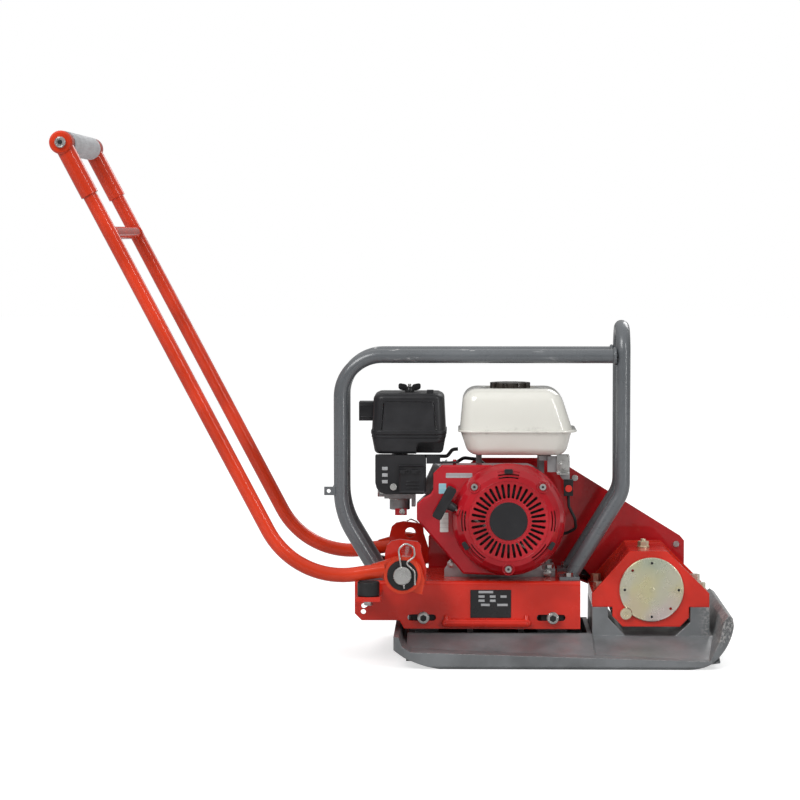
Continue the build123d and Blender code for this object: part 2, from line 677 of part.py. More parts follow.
def make_grip_rings():
    """Rubber end rings either side of the grip."""
    with BuildPart() as grip_rings:
        for low, high in ((-174, -GRIP_HALF), (GRIP_HALF, 174)):
            ring(HUB_TOP_X, HUB_TOP_Z, TUBE_RADIUS + 0.1, 19, low, high)
    grip_rings.part.label = "grip_rings"
    export_step(grip_rings.part, "parts/grip_rings.step")


def make_grip_screws():
    """Socket-head screws through the top bosses into the cross-bar."""
    with BuildPart() as grip_screws:
        for side in (-1, 1):
            cross_rod(HUB_TOP_X, HUB_TOP_Z, 5, *sorted((side * 154, side * 212)))
            cross_rod(HUB_TOP_X, HUB_TOP_Z, 9.5, *sorted((side * 212, side * 217)))
            cross_rod(HUB_TOP_X, HUB_TOP_Z, 4, *sorted((side * 214, side * 218)), Mode.SUBTRACT)
    grip_screws.part.label = "grip_screws"
    export_step(grip_screws.part, "parts/grip_screws.step")


def make_handle_brace():
    """Cross brace between the arms, coped to their tubes."""
    lean = math.radians(ARM_LEAN)
    drop = 154
    x = HUB_TOP_X + drop * math.tan(lean)
    z = HUB_TOP_Z - drop
    with BuildPart() as handle_brace:
        cross_rod(x, z, 11, -ARM_Y, ARM_Y)
        for side in (-1, 1):
            with Locations(Plane(origin=(x, side * ARM_Y, z), x_dir=(0, 1, 0),
                                 z_dir=(-math.sin(lean), 0, math.cos(lean))).location):
                Cylinder(TUBE_RADIUS + WELD_GAP, 80, mode=Mode.SUBTRACT)
    handle_brace.part.label = "handle_brace"
    export_step(handle_brace.part, "parts/handle_brace.step")


# ---- engine ----
def pull_point(distance):
    """Point on the starter's pull line, measured outward from the rope guide."""
    angle = math.radians(PULL_ANGLE)
    return (PULL_START[0] + distance * math.cos(angle), PULL_START[1] + distance * math.sin(angle))


def pull_rod(radius, start, end, mode=Mode.ADD):
    """Round bar or hole along the starter's pull line."""
    angle = math.radians(PULL_ANGLE)
    x, z = pull_point(start)
    plane = Plane(origin=(x, PULL_Y, z), x_dir=(0, 1, 0), z_dir=(math.cos(angle), 0, math.sin(angle)))
    with BuildSketch(plane) as section:
        Circle(radius)
    extrude(section.sketch, amount=end - start, mode=mode)


def cylinder_block(start, end, y_low, y_high, half_height):
    """Box along the cylinder's axis, which rises to the rear at 25 degrees from the crankshaft."""
    slope = math.radians(25)
    middle = (start + end) / 2
    place = (CRANK_X - middle * math.cos(slope), (y_low + y_high) / 2, CRANK_Z + middle * math.sin(slope))
    with Locations(Location(place, (0, 25, 0))):
        Box(end - start, y_high - y_low, 2 * half_height)


def make_engine_block():
    """Cast crankcase with feet, finned cylinder, bearing seats and the tank's mounts."""
    with BuildPart() as engine_block:
        brick((-158, -34), (-42, 76), (FOOT_TOP, BLOCK_TOP))
        brick((-182, -10), (-40, 74), (DECK_TOP, FOOT_TOP))
        slab([(-206, DECK_TOP), (-206, 150), (-190, 176), (-178, 176), (-156, 150), (-156, DECK_TOP)],
             -40, -34)
        cylinder_block(50, 76, -38, 52, 38)
        for step in range(6):
            start = 76 + 10.5 * step
            cylinder_block(start, start + 7.5, -33, 47, 33)
            cylinder_block(start + 7.5, start + 10.5, -38, 52, 38)
        cylinder_block(138, 140, -36, 50, 36)
        cross_rod(CRANK_X, CRANK_Z, 40, 76, 84)
        brick((-40, -30), (-36, 60), (BLOCK_TOP - 2, 353))
        brick((-150, -140), (-20, 60), (BLOCK_TOP - 2, 353))
        brick((-40, -18), (-58, -36), (345, 353))
        slab([(-25, 353), (14, 353), (14, 312), (2, 312), (-8, 325), (-25, 325)], -64, -58)
        cross_rod(CRANK_X, CRANK_Z, 45, -22, 56, Mode.SUBTRACT)
        cross_rod(CRANK_X, CRANK_Z, 26.05, -38, 74, Mode.SUBTRACT)
        cross_rod(CRANK_X, CRANK_Z, 15, -43, 85, Mode.SUBTRACT)
        for x in ENGINE_BOLT_X:
            for y in ENGINE_BOLT_Y:
                upright_rod(x, y, 4.4, DECK_TOP - 1, FOOT_TOP + 1, Mode.SUBTRACT)
        with BuildSketch(Plane.YZ.offset(-159)):
            with Locations((40, 192)):
                Circle(7)
        extrude(amount=24, mode=Mode.SUBTRACT)
    engine_block.part.label = "engine_block"
    export_step(engine_block.part, "parts/engine_block.step")


def make_rocker_cover():
    """Pressed rocker cover on the cylinder head."""
    with BuildPart() as rocker_cover:
        cylinder_block(140, 144, -34, 48, 34)
        cylinder_block(144, 157, -28, 42, 28)
    rocker_cover.part.label = "rocker_cover"
    export_step(rocker_cover.part, "parts/rocker_cover.step")


def make_crankshaft():
    """Crankshaft with two webs and its pin."""
    with BuildPart() as crankshaft:
        turned(CRANK_X, CRANK_Z, [(0, -92), (7, -92), (7, -84), (CRANK_RADIUS, -84),
                                  (CRANK_RADIUS, -4), (0, -4)])
        turned(CRANK_X, CRANK_Z, [(0, 38), (CRANK_RADIUS, 38), (CRANK_RADIUS, 157), (0, 157)])
        for y in (-18, 38):
            cross_rod(CRANK_X, CRANK_Z, 38, y, y + 14)
        cross_rod(CRANK_X, CRANK_Z + 22, 13, -5, 39)
    crankshaft.part.label = "crankshaft"
    export_step(crankshaft.part, "parts/crankshaft.step")


def make_flywheel_fan():
    """Flywheel disc with its ring of cooling blades."""
    with BuildPart() as flywheel_fan:
        turned(CRANK_X, CRANK_Z, [(CRANK_RADIUS + 0.05, -66), (24, -66), (24, -60), (72, -60), (72, -50),
                                  (CRANK_RADIUS + 0.05, -50)])
        with BuildSketch(side_plane(-59)):
            with Locations((CRANK_X, CRANK_Z)):
                with PolarLocations(56, 16):
                    Rectangle(30, 3, rotation=20)
        extrude(amount=23)
    flywheel_fan.part.label = "flywheel_fan"
    export_step(flywheel_fan.part, "parts/flywheel_fan.step")


def shroud_face(shrink):
    """Side outline of the fan shroud, drawn in by shrink."""
    radius = 100
    end = math.radians(70)
    with BuildLine() as outline:
        top_right = (CRANK_X + radius * math.cos(end), CRANK_Z + radius * math.sin(end))
        ThreePointArc((CRANK_X, CRANK_Z - radius), (CRANK_X + radius, CRANK_Z), top_right)
        Polyline(top_right, (-210, 339), (-225, 324), (-225, 296), (-230, 288), (-243, 281),
                 (-254, 270), (-254, 243), (-172, 148), (CRANK_X, CRANK_Z - radius))
    make_face(outline.edges())
    if shrink:
        offset(amount=-shrink, mode=Mode.REPLACE)


def make_fan_shroud():
    """Pressed cooling shroud, open at the back, with the fan's opening and the throttle pivot."""
    with BuildPart() as fan_shroud:
        with BuildSketch(side_plane(-42.5)):
            shroud_face(0)
        extrude(amount=47.5)
        front = fan_shroud.faces().sort_by(Axis.Y)[0]
        chamfer(front.edges(), 3)
        with BuildSketch(side_plane(-42)):
            shroud_face(2)
        extrude(amount=46, mode=Mode.SUBTRACT)
        cross_rod(CRANK_X, CRANK_Z, 76, -91, -87, Mode.SUBTRACT)
        for x, z in cowl_screw_places():
            cross_rod(x, z, 2.8, -91, -87, Mode.SUBTRACT)
        upright_rod(-188, -66, 3, 337.5, 347)
    fan_shroud.part.label = "fan_shroud"
    export_step(fan_shroud.part, "parts/fan_shroud.step")


def cowl_screw_places():
    """Three screws round the recoil cover."""
    return [(CRANK_X + 84 * math.cos(math.radians(a)), CRANK_Z + 84 * math.sin(math.radians(a)))
            for a in (45, 135, 270)]


def make_recoil_cover():
    """Domed recoil cover with radial slots, arc louvres, screw bosses, rope guide and reel post."""
    with BuildPart() as recoil_cover:
        turned(CRANK_X, CRANK_Z,
               [(0, COWL_FACE), (69, COWL_FACE), (80, -129), (90, -118), (96, -104), (COWL_RADIUS, -97),
                (COWL_RADIUS, COWL_BASE), (94.5, COWL_BASE), (94.5, -98), (87, -114), (77, -125.5),
                (68, -129), (8, -129), (8, -96), (0, -96)])
        for x, z in cowl_screw_places():
            cross_rod(x, z, 8, -127, COWL_BASE)
        pull_rod(9, 3, 13)
        with BuildSketch(side_plane(-120)):
            with Locations((CRANK_X, CRANK_Z)):
                with PolarLocations(52.5, 36):
                    SlotOverall(25, 4.6)
        extrude(amount=20, mode=Mode.SUBTRACT)
        for x, z in cowl_screw_places():
            cross_rod(x, z, 6.4, -134, -127, Mode.SUBTRACT)
            cross_rod(x, z, 2.8, -128, COWL_BASE + 1, Mode.SUBTRACT)
        pull_rod(3.2, -14, 20, Mode.SUBTRACT)
        with BuildSketch(side_plane(-121)):
            for middle in (90, 180, 0, 315, 225):
                for radius in (75, 80, 85):
                    with BuildLine():
                        louvre(radius, middle, 26)
                    make_face()
        extrude(amount=20, mode=Mode.SUBTRACT)
    recoil_cover.part.label = "recoil_cover"
    export_step(recoil_cover.part, "parts/recoil_cover.step")


def louvre(radius, middle, span):
    """Closed outline of one narrow arc slot about the crankshaft."""
    def at(r, angle):
        turn = math.radians(angle)
        return (CRANK_X + r * math.cos(turn), CRANK_Z + r * math.sin(turn))
    low = middle - span / 2
    high = middle + span / 2
    ThreePointArc(at(radius, low), at(radius, middle), at(radius, high))
    Line(at(radius, high), at(radius + 2.2, high))
    ThreePointArc(at(radius + 2.2, high), at(radius + 2.2, middle), at(radius + 2.2, low))
    Line(at(radius + 2.2, low), at(radius, low))


def make_centre_badge():
    """Blank centre disc of the recoil cover."""
    with BuildPart() as centre_badge:
        cross_rod(CRANK_X, CRANK_Z, 33, -134, COWL_FACE)
        chamfer(centre_badge.edges().filter_by_position(Axis.Y, -134.1, -133.9), 0.8)
    centre_badge.part.label = "centre_badge"
    export_step(centre_badge.part, "parts/centre_badge.step")


def make_cowl_screws():
    """Screws of the recoil cover and of the control cover."""
    with BuildPart() as cowl_screws:
        for x, z in cowl_screw_places():
            cross_rod(x, z, 5.5, -131, -127)
            cross_rod(x, z, 2.5, -127, -84)
        cross_rod(-295, 300, 6, -83, -80)
        cross_rod(-295, 300, 2.5, -80, -60)
    cowl_screws.part.label = "cowl_screws"
    export_step(cowl_screws.part, "parts/cowl_screws.step")


def make_rope_reel():
    """Rope reel on the recoil cover's post."""
    with BuildPart() as rope_reel:
        turned(CRANK_X, CRANK_Z, [(8 + RUNNING, -111), (58, -111), (58, -109), (48, -109), (48, -99),
                                  (58, -99), (58, -97), (8 + RUNNING, -97)])
    rope_reel.part.label = "rope_reel"
    export_step(rope_reel.part, "parts/rope_reel.step")


def make_starter_rope():
    """Starter rope: the straight run that comes out with the grip."""
    with BuildPart() as starter_rope:
        pull_rod(2, -134, 17)
    starter_rope.part.label = "starter_rope"
    export_step(starter_rope.part, "parts/starter_rope.step")


def make_starter_grip():
    """T-shaped starter grip."""
    angle = math.radians(PULL_ANGLE)
    x, z = pull_point(36)
    across = (math.sin(angle), 0, -math.cos(angle))
    with BuildPart() as starter_grip:
        pull_rod(6.5, 17, 34)
        with BuildSketch(Plane(origin=(x - 31 * across[0], PULL_Y, z - 31 * across[2]),
                               x_dir=(0, 1, 0), z_dir=across)):
            Ellipse(10, 8.8)
        extrude(amount=62)
        fillet(starter_grip.edges().filter_by(GeomType.ELLIPSE), 3)
    starter_grip.part.label = "starter_grip"
    export_step(starter_grip.part, "parts/starter_grip.step")


def make_throttle_lever():
    """Throttle lever: a flat arm on its pivot with an upturned tip."""
    with BuildPart() as throttle_lever:
        with BuildSketch(Plane.XY.offset(341)):
            with Locations((-188, -66)):
                Circle(7)
            with BuildLine():
                Polyline((-186, -73), (-183, -62), (-232, -76), (-236, -84), (-224, -84), close=True)
            make_face()
        extrude(amount=3)
        brick((-237, -213), (-84, -81), (341, 355.5))
        upright_rod(-188, -66, 3 + RUNNING, 340, 345, Mode.SUBTRACT)
    throttle_lever.part.label = "throttle_lever"
    export_step(throttle_lever.part, "parts/throttle_lever.step")


def make_carburettor():
    """Carburettor body with its bowl, intake neck and the pipe up to the air cleaner."""
    with BuildPart() as carburettor:
        brick((-312, -264), (-46, -10), (276, 300))
        upright_rod(-285, -28, 18, 256, 276)
        upright_rod(-285, -28, 5, 250, 256)
        brick((-264, -257), (-48, -8), (262, 300))
        upright_rod(-285, -28, 14, 300, 357)
        brick((-322, -312), (-40, -16), (280, 296))
        upright_rod(-285, -28, 11, 299, 358, Mode.SUBTRACT)
    carburettor.part.label = "carburettor"
    export_step(carburettor.part, "parts/carburettor.step")


def make_fuel_hose():
    """Fuel hose from the tank, under the air cleaner, to the carburettor."""
    with BuildPart() as fuel_hose:
        with BuildLine():
            route = FilletPolyline((-182, -30, 363), (-192, -30, 362), (-201, -30, 350), (-250, -30, 350),
                                   (-258, -22, 338), (-269, -16, 320), (-269, -15, 300.3),
                                   radius=[8, 8, 8, 10, 12])
        tube_along(route, 3.2)
    fuel_hose.part.label = "fuel_hose"
    export_step(fuel_hose.part, "parts/fuel_hose.step")


def make_control_cover():
    """Moulded control cover over the carburettor, with pivots for the choke and fuel levers."""
    with BuildPart() as control_cover:
        brick((-327, -238), (-80, -52), (287, 349))
        fillet(control_cover.edges().filter_by(Axis.Y), 5)
        chamfer(control_cover.faces().sort_by(Axis.Y)[0].edges(), 2)
        brick((-324, -241), (-77, -51), (290, 346), Mode.SUBTRACT)
        for x in (-270, -249):
            cross_rod(x, 327, 2, -86, -78)
        cross_rod(-295, 300, 2.7, -81, -76, Mode.SUBTRACT)
    control_cover.part.label = "control_cover"
    export_step(control_cover.part, "parts/control_cover.step")


def make_small_lever(x, label):
    """Short flat lever on the control cover, pointing to the rear."""
    with BuildPart() as lever:
        with BuildSketch(side_plane(-80.4)):
            with Locations((x, 327)):
                Circle(4)
            with Locations((x - 6.5, 327)):
                Rectangle(13, 5)
        extrude(amount=3.6)
        brick((x - 14, x - 5), (-88, -84), (324, 330))
        cross_rod(x, 327, 2 + RUNNING, -89, -80, Mode.SUBTRACT)
    lever.part.label = label
    export_step(lever.part, f"parts/{label}.step")


def make_air_cleaner_base():
    """Air cleaner tray with its stud and the intake opening."""
    with BuildPart() as air_cleaner_base:
        brick((-330, -207), (-72, 47), (357, 385))
        fillet(air_cleaner_base.edges().filter_by(Axis.Z), 14)
        brick((-322, -215), (-64, 39), (362, 382), Mode.SUBTRACT)
        upright_rod(AIR_X, AIR_Y, 6, 360, 384)
        upright_rod(AIR_X, AIR_Y, 3, 384, 474)
        upright_rod(-285, -28, 11, 356, 363, Mode.SUBTRACT)
    air_cleaner_base.part.label = "air_cleaner_base"
    export_step(air_cleaner_base.part, "parts/air_cleaner_base.step")


def make_air_cleaner_cover():
    """Moulded air cleaner cover with its intake snout and the hole for the stud."""
    with BuildPart() as air_cleaner_cover:
        with BuildSketch(Plane.XY.offset(385.3)):
            with Locations(((-334 - 203) / 2, (-75 + 50) / 2)):
                RectangleRounded(131, 125, 18)
        extrude(amount=463 - 385.3)
        fillet(air_cleaner_cover.faces().sort_by(Axis.Z)[-1].edges(), 8)
        brick((-357, -330), (-34, 10), (413, 446))
        with BuildSketch(Plane.XY.offset(385)):
            with Locations(((-334 - 203) / 2, (-75 + 50) / 2)):
                RectangleRounded(125, 119, 15)
        extrude(amount=460 - 385, mode=Mode.SUBTRACT)
        brick((-358, -332), (-31, 7), (416, 443), Mode.SUBTRACT)
        upright_rod(AIR_X, AIR_Y, 3.6, 458, 464, Mode.SUBTRACT)
    air_cleaner_cover.part.label = "air_cleaner_cover"
    export_step(air_cleaner_cover.part, "parts/air_cleaner_cover.step")


def make_air_filter_element():
    """Ring-shaped paper filter between the tray and the cover."""
    with BuildPart() as air_filter_element:
        upright_rod(AIR_X, AIR_Y, 44, 385.2, 446)
        upright_rod(AIR_X, AIR_Y, 28, 385, 447, Mode.SUBTRACT)
    air_filter_element.part.label = "air_filter_element"
    export_step(air_filter_element.part, "parts/air_filter_element.step")


def make_wing_nut():
    """Wing nut that holds the air cleaner's cover."""
    with BuildPart() as wing_nut:
        upright_rod(AIR_X, AIR_Y, 9, 463.4, 471)
        for side in (-1, 1):
            with BuildSketch(side_plane(AIR_Y + 2.2)):
                with BuildLine():
                    Polyline((AIR_X + side * 6, 465), (AIR_X + side * 18, 470), (AIR_X + side * 20, 478),
                             (AIR_X + side * 13, 479), (AIR_X + side * 5, 471), close=True)
                make_face()
            extrude(amount=4.4)
        upright_rod(AIR_X, AIR_Y, 3 + RUNNING, 463, 480, Mode.SUBTRACT)
    wing_nut.part.label = "wing_nut"
    export_step(wing_nut.part, "parts/wing_nut.step")


def make_muffler():
    """Hollow muffler box with its inlet stub and outlet."""
    with BuildPart() as muffler:
        brick((-326, -262), (24, 92), (272, 345))
        fillet(muffler.edges().filter_by(Axis.X), 10)
        brick((-323, -265), (27, 89), (275, 342), Mode.SUBTRACT)
        with BuildSketch(Plane.YZ.offset(-264)):
            with Locations((36, 300)):
                Circle(12)
        extrude(amount=8)
        cross_rod(-300, 322, 11, 90, 104)
        cross_rod(-300, 322, 8.5, 88, 105, Mode.SUBTRACT)
    muffler.part.label = "muffler"
    export_step(muffler.part, "parts/muffler.step")


def tank_outline(grow):
    """Plan of the fuel tank, enlarged by grow."""
    with Locations(((-182 + 27) / 2, (-98 + 66) / 2)):
        RectangleRounded(209 + 2 * grow, 164 + 2 * grow, 30 + grow)


def make_fuel_tank():
    """Pressed fuel tank: two shells joined at a seam flange, hollow inside, with the filler's collar."""
    with BuildPart() as fuel_tank:
        with BuildSketch(Plane.XY.offset(353)):
            tank_outline(-3)
        extrude(amount=TANK_TOP - 353)
        fillet(fuel_tank.faces().sort_by(Axis.Z)[-1].edges(), 24)
        fillet(fuel_tank.faces().sort_by(Axis.Z)[0].edges(), 14)
        with BuildSketch(Plane.XY.offset(TANK_SEAM - 2)):
            tank_outline(0)
        extrude(amount=4)
        upright_rod(CAP_X, CAP_Y, 46, 465, TANK_TOP + 1, Mode.SUBTRACT)
        upright_rod(CAP_X, CAP_Y, 27, 460, 475.4)
        with BuildSketch(Plane.XY.offset(360)):
            tank_outline(-6)
        extrude(amount=98, mode=Mode.SUBTRACT)
    fuel_tank.part.label = "fuel_tank"
    export_step(fuel_tank.part, "parts/fuel_tank.step")


def make_fuel_cap():
    """Fluted filler cap over the tank's collar."""
    with BuildPart() as fuel_cap:
        upright_rod(CAP_X, CAP_Y, 36.5, 465.6, 480)
        fillet(fuel_cap.faces().sort_by(Axis.Z)[-1].edges(), 3)
        upright_rod(CAP_X, CAP_Y, 28, 465, 476, Mode.SUBTRACT)
        with Locations((CAP_X, CAP_Y, 472)):
            with PolarLocations(38.5, 14):
                Cylinder(4, 20, mode=Mode.SUBTRACT)
    fuel_cap.part.label = "fuel_cap"
    export_step(fuel_cap.part, "parts/fuel_cap.step")


def make_oil_dipstick():
    """Oil filler plug with its dipstick, in the rear wall of the crankcase."""
    with BuildPart() as oil_dipstick:
        for radius, start, end in ((14, -172, -158.4), (6.4, -158.4, -152), (3, -152, -138)):
            with BuildSketch(Plane.YZ.offset(start)):
                with Locations((40, 192)):
                    Circle(radius)
            extrude(amount=end - start)
        brick((-180, -171), (37.5, 42.5), (181, 203))
    oil_dipstick.part.label = "oil_dipstick"
    export_step(oil_dipstick.part, "parts/oil_dipstick.step")


def make_stop_button():
    """Engine stop button."""
    with BuildPart() as stop_button:
        cross_rod(12, 297, 6, -76, -70.5)
        cross_rod(12, 297, 4, -70.5, -60)
    stop_button.part.label = "stop_button"
    export_step(stop_button.part, "parts/stop_button.step")


def make_engine_wiring():
    """Stop button's case with its lead, and the spark plug cap with its lead."""
    with BuildPart() as engine_wiring:
        brick((4, 20), (-66, -50), (283, 311.8))
        cross_rod(12, 297, 4.4, -67, -54, Mode.SUBTRACT)
        with BuildLine():
            stop_lead = FilletPolyline((12, -58, 284), (13, -58, 264), (24, -57, 242), (26, -44, 224),
                                       (10, -30, 214), (-12, -22, 210), (-34, -22, 210),
                                       radius=[14, 14, 12, 12, 12])
        tube_along(stop_lead, 2.6)
        cross_rod(-206, 298, 8.5, 52, 76)
        with BuildLine():
            plug_lead = FilletPolyline((-206, 74, 298), (-206, 92, 300), (-196, 96, 322), (-172, 88, 338),
                                       (-146, 78, 336), (-128, 66, 322), (-128, 66, BLOCK_TOP),
                                       radius=[9, 12, 12, 12, 12])
        tube_along(plug_lead, 3.2)
    engine_wiring.part.label = "engine_wiring"
    export_step(engine_wiring.part, "parts/engine_wiring.step")


# ---- belt guard and bolts ----
def guard_outline():
    """Side outline of the belt guard's back plate."""
    return [(-236, 134), (-236, 192), (-168, 318), (-150, 336), (-14, 336), (13, 324), (221, 195),
            (228.5, 186), (228.5, 76), (220, 68), (104, 68), (48, 134)]


def guard_screw_places():
    """Screws between the guard's plate and its cover."""
    return [(214, 180), (214, 80), (-150, 322), (-180, 170), (30, 300)]


def make_belt_guard_plate():
    """Back plate of the belt guard on spacers from the crankcase, with openings for both shafts."""
    with BuildPart() as belt_guard_plate:
        slab(guard_outline(), GUARD_PLATE_Y, GUARD_PLATE_Y + GUARD_PLATE_SHEET)
        for x in (-148, -44):
            for z in (180, 290):
                cross_rod(x, z, 8, 76, GUARD_PLATE_Y)
        cross_rod(CRANK_X, CRANK_Z, 34, GUARD_PLATE_Y - 1, GUARD_PLATE_Y + 4, Mode.SUBTRACT)
        cross_rod(EXCITER_X, EXCITER_Z, 34, GUARD_PLATE_Y - 1, GUARD_PLATE_Y + 4, Mode.SUBTRACT)
        for x, z in guard_screw_places():
            cross_rod(x, z, 3.2, GUARD_PLATE_Y - 1, GUARD_PLATE_Y + 4, Mode.SUBTRACT)
    belt_guard_plate.part.label = "belt_guard_plate"
    export_step(belt_guard_plate.part, "parts/belt_guard_plate.step")


def guard_hull(grow):
    """Outline round both pulleys, grow beyond the belt."""
    with Locations((CRANK_X, CRANK_Z)):
        Circle(DRIVE_BELT_RADIUS + grow)
    with Locations((EXCITER_X, EXCITER_Z)):
        Circle(DRIVEN_BELT_RADIUS + grow)
    make_hull()


def make_belt_guard_cover():
    """Hollow guard cover round the belt, with a flange screwed to the back plate."""
    base = GUARD_PLATE_Y + GUARD_PLATE_SHEET
    with BuildPart() as belt_guard_cover:
        slab(guard_outline(), base, base + 3)
        with BuildSketch(side_plane(GUARD_OUTER)):
            guard_hull(11)
        extrude(amount=GUARD_OUTER - base)
        fillet(belt_guard_cover.faces().sort_by(Axis.Y)[-1].edges(), 6)
        with BuildSketch(side_plane(GUARD_OUTER - 3)):
            guard_hull(8)
        extrude(amount=GUARD_OUTER - 3 - base + 1, mode=Mode.SUBTRACT)
        for x, z in guard_screw_places():
            cross_rod(x, z, 3.2, base - 1, base + 4, Mode.SUBTRACT)
        with BuildSketch(side_plane(GUARD_OUTER + 1)):
            for step in range(7):
                with Locations((CRANK_X - 36 + 12 * step, CRANK_Z)):
                    SlotOverall(60 - 5 * abs(step - 3), 5, rotation=90)
        extrude(amount=8, mode=Mode.SUBTRACT)
    belt_guard_cover.part.label = "belt_guard_cover"
    export_step(belt_guard_cover.part, "parts/belt_guard_cover.step")


def make_frame_bolts():
    """Engine and cage bolts with their nuts, buffer screws, guard screws and the oil drain bolt."""
    with BuildPart() as frame_bolts:
        for x, y in deck_bolt_places():
            foot = FOOT_TOP if x in ENGINE_BOLT_X else DECK_TOP + 6
            hex_head(x, y, 13, foot, foot + 7)
            upright_rod(x, y, 4, 122, foot)
            hex_head(x, y, 13, 124, DECK_TOP - DECK_SHEET)
        for side in (-1, 1):
            hex_head(-335, side * ARM_Y, 13, 106, 114)
            upright_rod(-335, side * ARM_Y, 3, 114, 136)
        for x, z in guard_screw_places():
            cross_rod(x, z, 5.5, GUARD_PLATE_Y - 4, GUARD_PLATE_Y)
            cross_rod(x, z, 3, GUARD_PLATE_Y, GUARD_PLATE_Y + 9)
        with BuildSketch(Plane.YZ.offset(-193)):
            with Locations((-20, 146)):
                Circle(6)
        extrude(amount=11)
    frame_bolts.part.label = "frame_bolts"
    export_step(frame_bolts.part, "parts/frame_bolts.step")


make_base_plate()
make_exciter_housing()
make_exciter_covers()
make_exciter_cover_screws()
make_exciter_plugs()
make_exciter_foot_bolts()
make_eccentric_shaft()
make_ball_bearings()
make_shaft_seal()
make_exciter_pulley()
make_drive_pulley()
make_v_belt()
make_deck()
make_rubber_mounts()
make_mount_bolts()
make_rating_plate()
make_handle_bracket()
make_pivot_pins()
make_r_clips()
make_handle_buffers()
make_cage_rails()
make_cage_hoop()
make_handle_arm(-1, "handle_arm_near")
make_handle_arm(1, "handle_arm_far")
make_hub_bushes()
make_grip_bar()
make_grip()
make_grip_rings()
make_grip_screws()
make_handle_brace()
make_engine_block()
make_rocker_cover()
make_crankshaft()
make_flywheel_fan()
make_fan_shroud()
make_recoil_cover()
make_centre_badge()
make_cowl_screws()
make_rope_reel()
make_starter_rope()
make_starter_grip()
make_throttle_lever()
make_carburettor()
make_fuel_hose()
make_control_cover()
make_small_lever(-270, "choke_lever")
make_small_lever(-249, "fuel_tap_lever")
make_air_cleaner_base()
make_air_cleaner_cover()
make_air_filter_element()
make_wing_nut()
make_muffler()
make_fuel_tank()
make_fuel_cap()
make_oil_dipstick()
make_stop_button()
make_engine_wiring()
make_belt_guard_plate()
make_belt_guard_cover()
make_frame_bolts()
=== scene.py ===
"""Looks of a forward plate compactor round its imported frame: finishes and fine pieces."""

import json
import math

import bpy
from mathutils import Matrix, Vector


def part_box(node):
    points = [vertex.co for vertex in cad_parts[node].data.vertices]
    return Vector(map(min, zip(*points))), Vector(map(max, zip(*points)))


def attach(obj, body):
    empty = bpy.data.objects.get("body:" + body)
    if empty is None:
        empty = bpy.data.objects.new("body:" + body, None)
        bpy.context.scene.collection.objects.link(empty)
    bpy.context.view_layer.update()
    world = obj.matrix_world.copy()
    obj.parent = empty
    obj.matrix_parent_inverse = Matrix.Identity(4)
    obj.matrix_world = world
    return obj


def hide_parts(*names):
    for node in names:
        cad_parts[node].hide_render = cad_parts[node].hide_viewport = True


bl_info = {
    "name": "Plate Compactor Looks",
    "version": (1, 0, 0),
    "blender": (4, 5, 0),
    "location": "3D View > Sidebar > Compactor",
    "description": "Finishes and fine pieces of a forward plate compactor",
    "category": "Object",
}

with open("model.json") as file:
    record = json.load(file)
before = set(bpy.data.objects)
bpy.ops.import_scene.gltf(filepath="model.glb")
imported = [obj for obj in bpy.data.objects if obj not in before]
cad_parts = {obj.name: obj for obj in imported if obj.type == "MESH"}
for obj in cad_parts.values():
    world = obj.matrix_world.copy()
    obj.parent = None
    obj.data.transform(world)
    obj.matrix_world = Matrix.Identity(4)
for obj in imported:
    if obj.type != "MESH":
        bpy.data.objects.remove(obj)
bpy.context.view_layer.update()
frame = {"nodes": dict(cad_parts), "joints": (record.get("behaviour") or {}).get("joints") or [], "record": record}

# Places that several pieces share, in metres; an axis across the machine is given as its x and z.
CRANK_AXIS = (-0.094, 0.245)
EXCITER_AXIS = (0.156, 0.123)
PIVOT_AXIS = (-0.2765, 0.159)
TUBE_RADIUS = 0.0125
RAIL_Y = 0.060
STRAP_X = -0.3975
DECK_BOLT_X = (-0.242, -0.016)
DECK_BOLT_Z = 0.073
COWL_SCREW_RADIUS = 0.084
COWL_SCREW_DEGREES = (45, 135, 270)
COVER_SCREW_RADIUS = 0.047
COVER_SCREW_DEGREES = (0, 90, 180, 270)

# Direction of the view in degrees, and the lens in millimetres.
VIEW_TILT = 90 - 3.36
VIEW_TURN = 1.3
VIEW_LENS = 128.9


